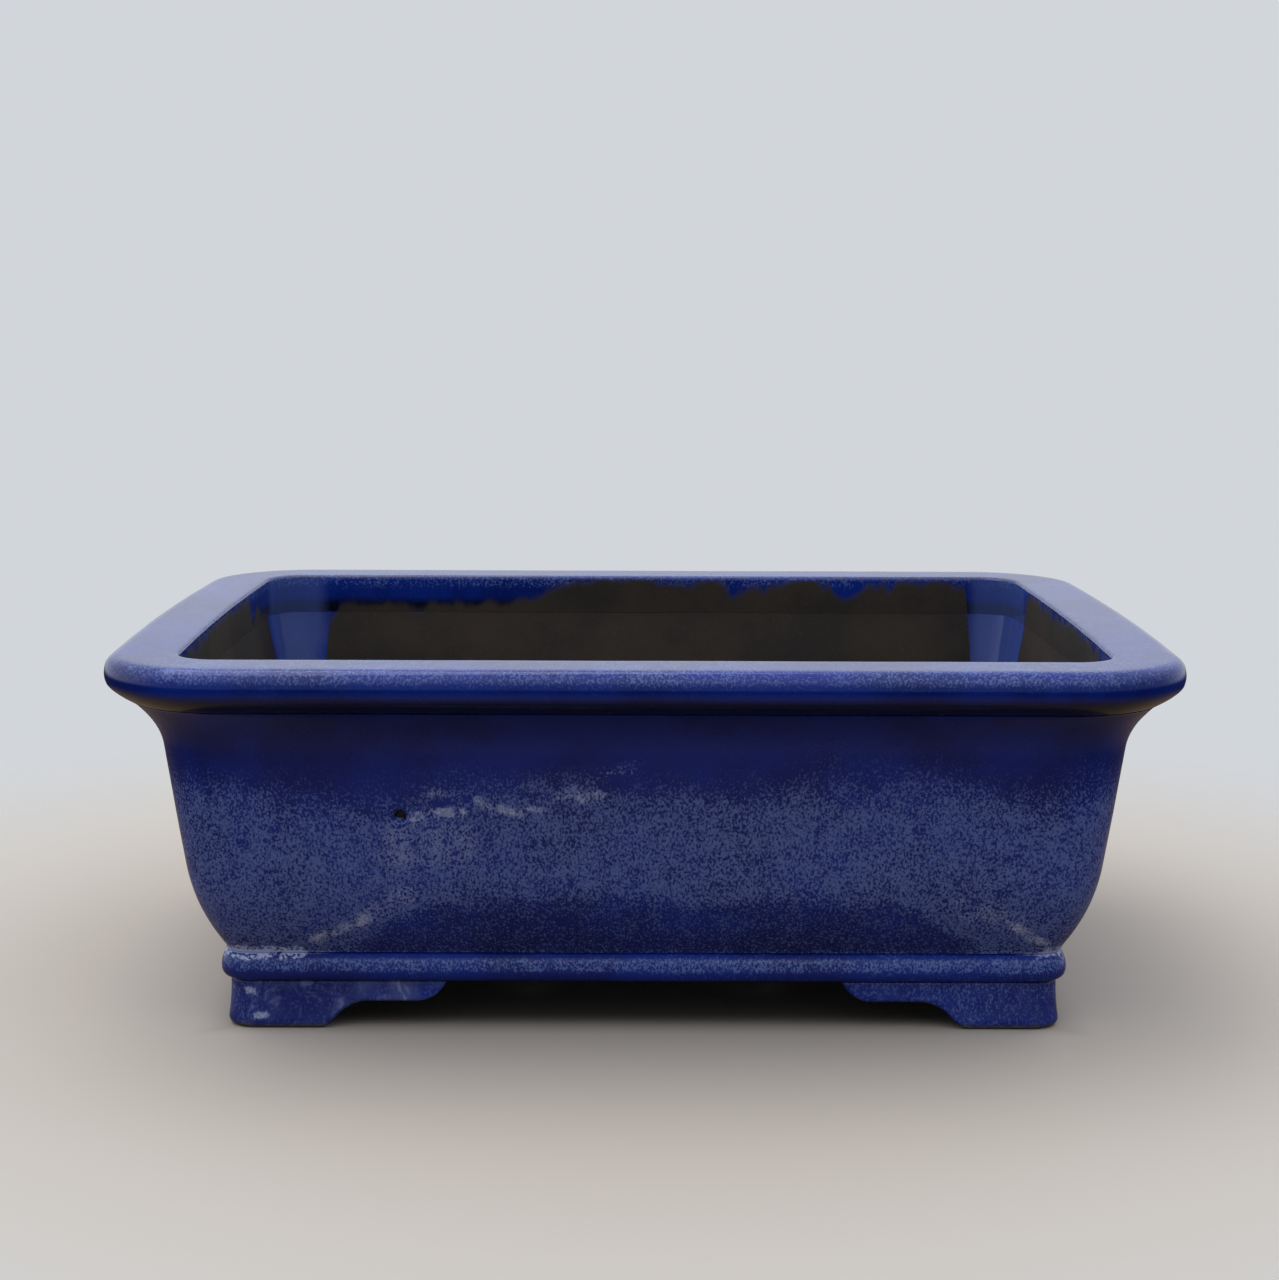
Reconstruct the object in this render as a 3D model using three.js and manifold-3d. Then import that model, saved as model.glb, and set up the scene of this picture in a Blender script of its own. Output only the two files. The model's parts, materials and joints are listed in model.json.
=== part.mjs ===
// Rectangular bonsai pot in cobalt-glazed stoneware, built the way a potter joins it from slabs:
// a floor slab, four wall slabs, four mitred rim strips, one belt bead round the base and four
// bracket feet. Millimetres, +Z up. The origin is the middle of the footprint, at the soles of the
// feet; the length lies along X and the front faces -Y.

import * as THREE from 'three';
import { mergeVertices } from 'three/addons/utils/BufferGeometryUtils.js';
import Module from 'manifold-3d';

const wasm = await Module();
wasm.setup();

// Overall size.
const POT_LENGTH = 307;           // across the rim, at the middle of the bowed short sides
const POT_WIDTH = 230;            // across the rim, front to back
const POT_HEIGHT = 109;
const SIDE_BOW = 3.5;             // how far each short side bows out beyond its corners

// Levels.
const FOOT_HEIGHT = 14;
const BELT_HEIGHT = 8.7;
const RIM_THICKNESS = 13;
const RIM_NOSE_DROP = 5;          // from the rim's top to the widest point of its bull nose
const FLANK_TOP = 83;
const FLANK_BOTTOM = 49;
const FLOOR_TOP = FOOT_HEIGHT + BELT_HEIGHT;
const RIM_UNDERSIDE = POT_HEIGHT - RIM_THICKNESS;

// Insets are measured in from the rim's outer edge.
const RIM_WIDTH = 21;
const NECK_INSET = 7.5;           // where the wall's flare meets the underside of the rim
const FLANK_TOP_INSET = 16;
const FLANK_BOTTOM_INSET = 21;
const BELLY_INSET = 31.2;         // where the belly tucks in above the belt
const BELT_INSET = 29.8;
const BASE_INSET = 32.6;          // the floor slab's edge
const FOOT_INSET = 31.4;
const WALL_THICKNESS = 7;
const FOOT_THICKNESS = 13;

// Where the tangents at the two ends of a curved stretch cross, as inset and height.
const NOSE_TURN = new THREE.Vector2(1, 98.2);
const COVE_TURN = new THREE.Vector2(15.2, 89);
const BELLY_TURN = new THREE.Vector2(22.8, 36);
const INNER_NECK_TURN = new THREE.Vector2(21.4, 92.5);
const INNER_BELLY_TURN = new THREE.Vector2(30.3, 30);

// Corner radii in plan.
const RIM_CORNER_RADIUS = 33;
const BODY_CORNER_RADIUS = 16;
const BODY_CORNER_TAPER = 0.5;    // radius lost for each millimetre that the body draws in
const BODY_CORNER_INSET = 15;     // where the body's corners have their full radius
const INNER_CORNER_RADIUS = 12;

// Edges.
const RIM_EDGE_RADIUS = 4.6;
const RIM_EDGE_TURN = 0.3;        // keeps the nose's upper edge a little fuller than a plain round
const RIM_LIP_RADIUS = 1.6;
const SOLE_EDGE_RADIUS = 2;
const SOLE_EDGE_HEIGHT = 2.5;
const SOLE_EDGE_TURN = -0.2;      // how far the sole's edge swells beyond the foot's face
const FOOT_HOLLOW = 0.9;          // how far the foot's face draws in below the belt
const INNER_FILLET = 1.4;         // how far the wall's foot spreads over the floor
const MITRE_SLIP = 0.2;           // thickness of the slip joint between two mitred ends
const BELT_SLIP = 0.2;            // thickness of the slip joint behind the belt

// Feet, seen from the front: a flat sole, an ogee toe and a raised shelf with a rounded end.
const FOOT_LENGTH_FRONT = 62;
const FOOT_LENGTH_SIDE = 47.5;
const TOE_RUN = 11.5;
const SHELF_HEIGHT = 8;
const FRONT_SOLE_LENGTH = 26;
const SIDE_SOLE_LENGTH = 20.5;
const SHELF_END_RUN = 6;
const TOE_TURN = new THREE.Vector2(4, 4);         // from the sole's end, inwards and up
const TOE_SHOULDER = new THREE.Vector2(5.5, 7.7);
const TIP_TURN = new THREE.Vector2(1.5, 8.5);     // from the shelf's tip, outwards and up

// Holes in the floor.
const DRAIN_HOLE_DIAMETER = 26;
const DRAIN_HOLE_SPACING = 124;
const WIRE_HOLE_DIAMETER = 5;
const WIRE_HOLE_SPACING_X = 70;
const WIRE_HOLE_SPACING_Y = 84;

// Fineness.
const CORNER_STEPS = 6;
const BOW_STEPS = 6;
const CURVE_STEPS = 6;
const LIP_STEPS = 3;
const SOLE_STEPS = 4;
const HOLE_STEPS = 24;

const CORNER_HALF_LENGTH = POT_LENGTH / 2 - SIDE_BOW;
const HALF_WIDTH = POT_WIDTH / 2;
const FAR = POT_LENGTH;
const OVERCUT = 1;                // how far a cutter stands clear of what it cuts

const glaze = { color: 0x1c2a78, roughness: 0.14, metalness: 0 };
const rimGlaze = { color: 0x26368c, roughness: 0.12, metalness: 0 };
const bareClay = { color: 0x4a3d33, roughness: 0.85, metalness: 0 };

// ---------------------------------------------------------------------------------- plan

function outerCornerRadius(inset) {
  const shrunk = RIM_CORNER_RADIUS - inset;
  const body = BODY_CORNER_RADIUS - BODY_CORNER_TAPER * (inset - BODY_CORNER_INSET);
  return Math.max(shrunk, body);
}

// The outline of the pot at one inset: a round-cornered rectangle whose short sides bow out.
function planRing(inset, radius) {
  const halfLength = CORNER_HALF_LENGTH - inset;
  const halfWidth = HALF_WIDTH - inset;
  const flat = [];
  const corners = [[1, 1], [-1, 1], [-1, -1], [1, -1]];
  corners.forEach(([sideX, sideY], quarter) => {
    for (let step = 0; step <= CORNER_STEPS; step += 1) {
      const angle = (quarter + step / CORNER_STEPS) * Math.PI / 2;
      const x = sideX * (halfLength - radius) + radius * Math.cos(angle);
      const y = sideY * (halfWidth - radius) + radius * Math.sin(angle);
      flat.push(new THREE.Vector2(x, y));
    }
    const alongShortSide = quarter % 2 === 1;
    for (let step = 1; alongShortSide && step < BOW_STEPS; step += 1) {
      const reach = sideY * (halfWidth - radius) * (1 - 2 * step / BOW_STEPS);
      flat.push(new THREE.Vector2(sideX * halfLength, reach));
    }
  });
  return flat.map((point) => {
    const swell = 1 + (SIDE_BOW / halfLength) * (1 - (point.y / halfWidth) ** 2);
    return new THREE.Vector2(point.x * swell, point.y);
  });
}

// ---------------------------------------------------------------------------------- solids

function toSolid(geometry) {
  const bare = geometry.clone();
  bare.deleteAttribute('normal');
  bare.deleteAttribute('uv');
  const merged = mergeVertices(bare);
  return new wasm.Manifold(new wasm.Mesh({
    numProp: 3,
    vertProperties: new Float32Array(merged.attributes.position.array),
    triVerts: new Uint32Array(merged.index.array),
  }));
}

function toGeometry(solid) {
  const { numProp, vertProperties, triVerts } = solid.getMesh();
  const positions = [];
  for (let at = 0; at < vertProperties.length; at += numProp) {
    positions.push(vertProperties[at], vertProperties[at + 1], vertProperties[at + 2]);
  }
  const geometry = new THREE.BufferGeometry();
  geometry.setAttribute('position', new THREE.Float32BufferAttribute(positions, 3));
  geometry.setIndex(Array.from(triVerts));
  geometry.computeVertexNormals();
  return geometry;
}

// A closed band that carries a section all the way round the pot. Each section point has an
// inset, a height z and the plan's corner radius there; the section runs clockwise as seen on
// the pot's left-hand end, outer face upwards first.
function bandGeometry(section) {
  const rings = section.map(({ inset, radius }) => planRing(inset, radius));
  const around = rings[0].length;
  const positions = [];
  section.forEach(({ z }, level) => {
    rings[level].forEach((point) => positions.push(point.x, point.y, z));
  });
  const indices = [];
  for (let level = 0; level < section.length; level += 1) {
    const above = ((level + 1) % section.length) * around;
    const here = level * around;
    for (let step = 0; step < around; step += 1) {
      const next = (step + 1) % around;
      indices.push(here + step, here + next, above + next);
      indices.push(here + step, above + next, above + step);
    }
  }
  const geometry = new THREE.BufferGeometry();
  geometry.setAttribute('position', new THREE.Float32BufferAttribute(positions, 3));
  geometry.setIndex(indices);
  return geometry;
}

function outerPoints(path, steps = CURVE_STEPS) {
  return path.getPoints(steps).map(({ x, y }) => ({ inset: x, z: y, radius: outerCornerRadius(x) }));
}

function innerPoints(path, steps = CURVE_STEPS) {
  return path.getPoints(steps).map(({ x, y }) => ({ inset: x, z: y, radius: INNER_CORNER_RADIUS }));
}

// A prism of the given outline, standing on the XY plane or lying along X or Y.
function prism(shape, depth) {
  return new THREE.ExtrudeGeometry(shape, { depth, bevelEnabled: false, curveSegments: CURVE_STEPS });
}

// The space that one side owns, bounded by the 45 degree mitre planes at its two corners.
function mitreWedge(side) {
  const ridge = CORNER_HALF_LENGTH - HALF_WIDTH;
  const slip = MITRE_SLIP / Math.SQRT2;
  const outline = new THREE.Shape();
  if (side === 'front' || side === 'back') {
    const facing = side === 'front' ? -1 : 1;
    outline.moveTo(-ridge, facing * slip);
    outline.lineTo(ridge, facing * slip);
    outline.lineTo(ridge + FAR, facing * (FAR + slip));
    outline.lineTo(-ridge - FAR, facing * (FAR + slip));
  } else {
    const facing = side === 'left' ? -1 : 1;
    outline.moveTo(facing * (ridge + slip), 0);
    outline.lineTo(facing * (ridge + FAR + slip), FAR);
    outline.lineTo(facing * (ridge + FAR + slip), -FAR);
  }
  return toSolid(prism(outline, POT_HEIGHT));
}

// ---------------------------------------------------------------------------------- pieces

function curveTo(path, turn, inset, z) {
  path.quadraticCurveTo(turn.x, turn.y, inset, z);
}

// The wall's section: a cove under the rim, an even flank and a belly that tucks in at the belt.
function wallSection() {
  const outside = new THREE.Path();
  outside.moveTo(BELLY_INSET, FLOOR_TOP);
  curveTo(outside, BELLY_TURN, FLANK_BOTTOM_INSET, FLANK_BOTTOM);
  outside.lineTo(FLANK_TOP_INSET, FLANK_TOP);
  curveTo(outside, COVE_TURN, NECK_INSET, RIM_UNDERSIDE);
  const inside = new THREE.Path();
  inside.moveTo(RIM_WIDTH, RIM_UNDERSIDE);
  curveTo(inside, INNER_NECK_TURN, FLANK_TOP_INSET + WALL_THICKNESS, FLANK_TOP);
  inside.lineTo(FLANK_BOTTOM_INSET + WALL_THICKNESS, FLANK_BOTTOM);
  curveTo(inside, INNER_BELLY_TURN, BELLY_INSET + WALL_THICKNESS + INNER_FILLET, FLOOR_TOP);
  return [...outerPoints(outside), ...innerPoints(inside)];
}

// The rim strip's section: flat on top, a bull-nosed outer edge, and a lip that thickens inwards.
function rimSection() {
  const outside = new THREE.Path();
  outside.moveTo(NECK_INSET, RIM_UNDERSIDE);
  curveTo(outside, NOSE_TURN, 0, POT_HEIGHT - RIM_NOSE_DROP);
  outside.quadraticCurveTo(RIM_EDGE_TURN, POT_HEIGHT, RIM_EDGE_RADIUS, POT_HEIGHT);
  const inside = new THREE.Path();
  inside.moveTo(RIM_WIDTH - RIM_LIP_RADIUS, POT_HEIGHT);
  inside.quadraticCurveTo(RIM_WIDTH, POT_HEIGHT, RIM_WIDTH, POT_HEIGHT - RIM_LIP_RADIUS);
  inside.lineTo(RIM_WIDTH, RIM_UNDERSIDE);
  return [...outerPoints(outside), ...innerPoints(inside, LIP_STEPS)];
}

// The belt's section: a half-round bead with a flat back against the floor slab.
function beltSection() {
  const back = BASE_INSET - BELT_SLIP;
  const bead = new THREE.Path();
  const middle = FOOT_HEIGHT + BELT_HEIGHT / 2;
  bead.moveTo(back, FOOT_HEIGHT);
  bead.absellipse(back, middle, back - BELT_INSET, BELT_HEIGHT / 2, -Math.PI / 2, Math.PI / 2, true);
  return outerPoints(bead, 2 * CURVE_STEPS).slice(1);
}

// The feet's section: an outer face that flares a little towards a rounded sole.
function footSection() {
  const outside = new THREE.Path();
  outside.moveTo(FOOT_INSET + SOLE_EDGE_RADIUS, 0);
  outside.quadraticCurveTo(FOOT_INSET + SOLE_EDGE_TURN, 0, FOOT_INSET, SOLE_EDGE_HEIGHT);
  const waist = FOOT_INSET + FOOT_HOLLOW;
  outside.quadraticCurveTo(waist, FOOT_HEIGHT / 2, waist, FOOT_HEIGHT);
  const inner = FOOT_INSET + FOOT_THICKNESS;
  const back = new THREE.Path();
  back.moveTo(inner, FOOT_HEIGHT);
  back.lineTo(inner, 0);
  return [...outerPoints(outside, SOLE_STEPS), ...innerPoints(back)];
}

// The opening between two feet, as an outline centred on the side it is cut through.
function footOpening(halfSpan, footLength, soleLength) {
  const half = [];
  const toe = new THREE.Path();
  const soleEnd = halfSpan - soleLength;
  const shelfStart = soleEnd - TOE_RUN;
  const tip = halfSpan - footLength;
  toe.moveTo(soleEnd, 0);
  toe.bezierCurveTo(
    soleEnd - TOE_TURN.x, TOE_TURN.y,
    soleEnd - TOE_SHOULDER.x, TOE_SHOULDER.y,
    shelfStart, SHELF_HEIGHT);
  toe.lineTo(tip + SHELF_END_RUN, SHELF_HEIGHT);
  toe.quadraticCurveTo(tip + TIP_TURN.x, TIP_TURN.y, tip, FOOT_HEIGHT);
  half.push(new THREE.Vector2(soleEnd, -OVERCUT), ...toe.getPoints(CURVE_STEPS));
  half.push(new THREE.Vector2(tip, FOOT_HEIGHT + OVERCUT));
  const mirrored = half.map((point) => new THREE.Vector2(-point.x, point.y)).reverse();
  return new THREE.Shape([...half, ...mirrored]);
}

function footRing() {
  const ring = toSolid(bandGeometry(footSection()));
  const across = prism(
    footOpening(CORNER_HALF_LENGTH - FOOT_INSET, FOOT_LENGTH_FRONT, FRONT_SOLE_LENGTH), POT_WIDTH);
  across.rotateX(Math.PI / 2);
  across.translate(0, POT_WIDTH / 2, 0);
  const along = prism(
    footOpening(HALF_WIDTH - FOOT_INSET, FOOT_LENGTH_SIDE, SIDE_SOLE_LENGTH), POT_LENGTH);
  along.rotateX(Math.PI / 2);
  along.rotateZ(Math.PI / 2);
  along.translate(-POT_LENGTH / 2, 0, 0);
  return ring.subtract(toSolid(across)).subtract(toSolid(along));
}

function quarterBlock(sideX, sideY) {
  const block = new THREE.BoxGeometry(POT_LENGTH, POT_WIDTH, POT_HEIGHT);
  block.translate(sideX * POT_LENGTH / 2, sideY * POT_WIDTH / 2, 0);
  return toSolid(block);
}

function roundHole(x, y, diameter) {
  return new THREE.Path().absarc(x, y, diameter / 2, 0, 2 * Math.PI, true);
}

function floorGeometry() {
  const outline = new THREE.Shape(planRing(BASE_INSET, outerCornerRadius(BASE_INSET)));
  for (const side of [-1, 1]) {
    outline.holes.push(roundHole(side * DRAIN_HOLE_SPACING / 2, 0, DRAIN_HOLE_DIAMETER));
    for (const edge of [-1, 1]) {
      const x = side * WIRE_HOLE_SPACING_X / 2;
      outline.holes.push(roundHole(x, edge * WIRE_HOLE_SPACING_Y / 2, WIRE_HOLE_DIAMETER));
    }
  }
  const slab = new THREE.ExtrudeGeometry(outline, {
    depth: BELT_HEIGHT,
    bevelEnabled: false,
    curveSegments: HOLE_STEPS,
  });
  slab.translate(0, 0, FOOT_HEIGHT);
  return slab;
}

// ---------------------------------------------------------------------------------- assembly

function piece(name, geometry, finish) {
  const mesh = new THREE.Mesh(geometry, new THREE.MeshStandardMaterial(finish));
  mesh.name = name;
  return mesh;
}

const pot = new THREE.Group();

const wallBand = toSolid(bandGeometry(wallSection()));
const rimBand = toSolid(bandGeometry(rimSection()));
for (const side of ['front', 'back', 'left', 'right']) {
  const wedge = mitreWedge(side);
  pot.add(piece(`${side}_wall`, toGeometry(wallBand.intersect(wedge)), glaze));
  pot.add(piece(`${side}_rim`, toGeometry(rimBand.intersect(wedge)), rimGlaze));
}

pot.add(piece('floor_slab', floorGeometry(), bareClay));
pot.add(piece('base_belt', bandGeometry(beltSection()), glaze));

const feet = footRing();
for (const [end, sideY] of [['front', -1], ['back', 1]]) {
  for (const [hand, sideX] of [['left', -1], ['right', 1]]) {
    const foot = feet.intersect(quarterBlock(sideX, sideY));
    pot.add(piece(`${end}_${hand}_foot`, toGeometry(foot), glaze));
  }
}

export default pot;
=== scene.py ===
"""A rectangular bonsai pot in cobalt-glazed stoneware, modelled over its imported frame.

The pot is joined from slabs: four ogee walls, four mitred rim strips, a beaded belt, a pierced
floor and four bracket feet. Every clay piece is shaped with Blender's own edit-mode operators,
takes its sizes from the frame, and is dressed with a procedural glaze or clay.
"""

import json
import logging
import math
from contextlib import contextmanager
from dataclasses import dataclass, field
from enum import Enum
from typing import Callable, Iterator, Sequence

import bmesh
import bpy
from mathutils import Euler, Matrix, Vector

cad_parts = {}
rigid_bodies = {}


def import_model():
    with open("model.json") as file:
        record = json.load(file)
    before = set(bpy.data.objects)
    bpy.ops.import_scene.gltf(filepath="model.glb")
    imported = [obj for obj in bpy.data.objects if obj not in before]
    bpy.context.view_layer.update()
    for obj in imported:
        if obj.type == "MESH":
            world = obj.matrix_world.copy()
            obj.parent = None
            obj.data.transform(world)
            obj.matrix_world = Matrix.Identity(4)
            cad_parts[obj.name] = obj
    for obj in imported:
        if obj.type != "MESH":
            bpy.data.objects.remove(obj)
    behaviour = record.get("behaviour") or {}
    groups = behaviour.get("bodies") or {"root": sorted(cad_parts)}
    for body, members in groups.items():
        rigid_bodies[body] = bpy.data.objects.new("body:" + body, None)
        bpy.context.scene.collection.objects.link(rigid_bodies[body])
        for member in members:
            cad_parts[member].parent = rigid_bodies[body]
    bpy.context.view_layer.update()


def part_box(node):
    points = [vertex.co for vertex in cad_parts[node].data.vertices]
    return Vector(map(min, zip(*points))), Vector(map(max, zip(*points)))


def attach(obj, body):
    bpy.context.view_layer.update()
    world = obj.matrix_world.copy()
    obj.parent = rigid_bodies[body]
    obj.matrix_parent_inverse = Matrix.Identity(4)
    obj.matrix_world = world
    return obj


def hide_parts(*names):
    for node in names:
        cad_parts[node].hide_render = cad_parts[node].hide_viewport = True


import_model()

BODY = "root"
MM = 0.001
SMOOTH_ANGLE = math.radians(40)
LOG = logging.getLogger("bonsai_pot")

Colour = tuple[float, float, float, float]
Point2 = tuple[float, float]
Point3 = tuple[float, float, float]


# ------------------------------------------------------------------------------------------
# Helpers for editing meshes and reading the frame
# ------------------------------------------------------------------------------------------


def make_active(piece: bpy.types.Object) -> None:
    """Deselects everything and makes one object the selected, active one.

    Args:
        piece: The object that the next operators act on.
    """
    for other in bpy.context.view_layer.objects:
        other.select_set(False)
    piece.select_set(True)
    bpy.context.view_layer.objects.active = piece


def empty_piece(name: str) -> bpy.types.Object:
    """Makes an object with an empty mesh at the origin.

    Args:
        name: The object's and the mesh's name.

    Returns:
        The new object, linked to the scene.
    """
    piece = bpy.data.objects.new(name, bpy.data.meshes.new(name))
    bpy.context.scene.collection.objects.link(piece)
    return piece


@contextmanager
def edit_mode(piece: bpy.types.Object, select: str = "VERT") -> Iterator[bpy.types.Object]:
    """Opens a piece in edit mode with nothing selected, and closes it again.

    Args:
        piece: The mesh object to edit.
        select: The selection mode, VERT, EDGE or FACE.

    Yields:
        The same object.
    """
    make_active(piece)
    bpy.ops.object.mode_set(mode="EDIT")
    bpy.ops.mesh.select_mode(type=select)
    bpy.ops.mesh.select_all(action="DESELECT")
    try:
        yield piece
    finally:
        bpy.ops.object.mode_set(mode="OBJECT")


def pick(piece: bpy.types.Object, kind: str, test: Callable[..., bool]) -> int:
    """Selects the vertices, edges or faces that pass a test, and nothing else.

    Args:
        piece: The object that is in edit mode.
        kind: "verts", "edges" or "faces".
        test: Says whether one element is picked.

    Returns:
        How many were picked.
    """
    bpy.ops.mesh.select_all(action="DESELECT")
    mesh = bmesh.from_edit_mesh(piece.data)
    chosen = [element for element in getattr(mesh, kind) if test(element)]
    for element in chosen:
        element.select_set(True)
    bmesh.update_edit_mesh(piece.data)
    return len(chosen)


def apply_modifier(piece: bpy.types.Object, kind: str, **settings: object) -> None:
    """Adds one modifier to a piece and applies it.

    Args:
        piece: The mesh object.
        kind: The modifier's type.
        **settings: The modifier's own properties.
    """
    make_active(piece)
    modifier = piece.modifiers.new(kind.lower(), kind)
    for setting, value in settings.items():
        setattr(modifier, setting, value)
    bpy.ops.object.modifier_apply(modifier=modifier.name)


def copy_of(piece: bpy.types.Object, name: str) -> bpy.types.Object:
    """Copies a piece with a mesh of its own.

    Args:
        piece: The object to copy.
        name: The copy's name.

    Returns:
        The copy.
    """
    make_active(piece)
    bpy.ops.object.duplicate(linked=False)
    twin = bpy.context.view_layer.objects.active
    twin.name = name
    twin.data.name = name
    return twin


def discard(*pieces: bpy.types.Object) -> None:
    """Deletes helper objects and their meshes.

    Args:
        *pieces: The mesh objects to delete.
    """
    for piece in pieces:
        mesh = piece.data
        bpy.data.objects.remove(piece)
        bpy.data.meshes.remove(mesh)


def levels(node: str) -> Point2:
    """The lowest and the highest point of one of the frame's nodes."""
    low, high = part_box(node)
    return low.z, high.z


# ------------------------------------------------------------------------------------------
# The plan and the mouldings that run round it
# ------------------------------------------------------------------------------------------


@dataclass(frozen=True)
class Station:
    """One level of a moulding: how far in, how high, how round, and which face it is on."""

    inset: float
    height: float
    radius: float
    inner: float = 0.0
    worn: float = 0.0


def arc_between(start: Point2, turn: Point2, end: Point2, steps: int) -> list[Point2]:
    """A smooth curve that leaves start and reaches end along lines that cross at turn.

    Args:
        start: First point, as inset and height.
        turn: Where the two end tangents cross.
        end: Last point.
        steps: How many segments the curve has.

    Returns:
        The points, both ends included.
    """
    points = []
    for step in range(steps + 1):
        t = step / steps
        near, middle, far = (1 - t) ** 2, 2 * t * (1 - t), t**2
        points.append(tuple(near * a + middle * b + far * c for a, b, c in zip(start, turn, end)))
    return points


def straight(start: Point2, end: Point2, steps: int) -> list[Point2]:
    """Points along a straight line.

    Args:
        start: First point.
        end: Last point.
        steps: How many segments there are.

    Returns:
        The points, both ends included.
    """
    middle = tuple((a + b) / 2 for a, b in zip(start, end))
    return arc_between(start, middle, end, steps)


@dataclass
class PotPlan:
    """The pot's plan, taken from the frame: a rectangle with round corners and bowed ends."""

    side_bow: float = 3.5 * MM
    rim_corner: float = 33 * MM
    body_corner: float = 16 * MM
    body_taper: float = 0.5
    body_taper_from: float = 15 * MM
    inner_corner: float = 12 * MM
    corner_cuts: int = 18
    bow_points: int = 9
    burst: Point2 = (-68 * MM, 65.3 * MM)
    half_length: float = field(init=False)
    half_width: float = field(init=False)

    def __post_init__(self) -> None:
        """Reads the rim's reach from the frame."""
        self.half_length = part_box("right_rim")[1].x - self.side_bow
        self.half_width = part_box("back_rim")[1].y

    def inset_of(self, node: str) -> float:
        """How far in from the rim's edge one of the frame's nodes starts, on the long sides."""
        return self.half_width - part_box(node)[1].y

    def outer_radius(self, inset: float) -> float:
        """The corner radius of the outside surface at one inset.

        Args:
            inset: How far in from the rim's edge.

        Returns:
            The rim's radius less the inset, or the body's radius where that is greater.
        """
        shrunk = self.rim_corner - inset
        body = self.body_corner - self.body_taper * (inset - self.body_taper_from)
        return max(shrunk, body)

    def outer(self, points: Sequence[Point2]) -> list[Station]:
        """Turns section points into stations of the outside surface.

        Args:
            points: Inset and height of each point.

        Returns:
            One station for each point.
        """
        return [Station(inset, height, self.outer_radius(inset)) for inset, height in points]

    def inside(self, points: Sequence[Point2]) -> list[Station]:
        """Turns section points into stations of the inside surface.

        Args:
            points: Inset and height of each point.

        Returns:
            One station for each point.
        """
        return [Station(inset, height, self.inner_corner, inner=1.0) for inset, height in points]


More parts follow.
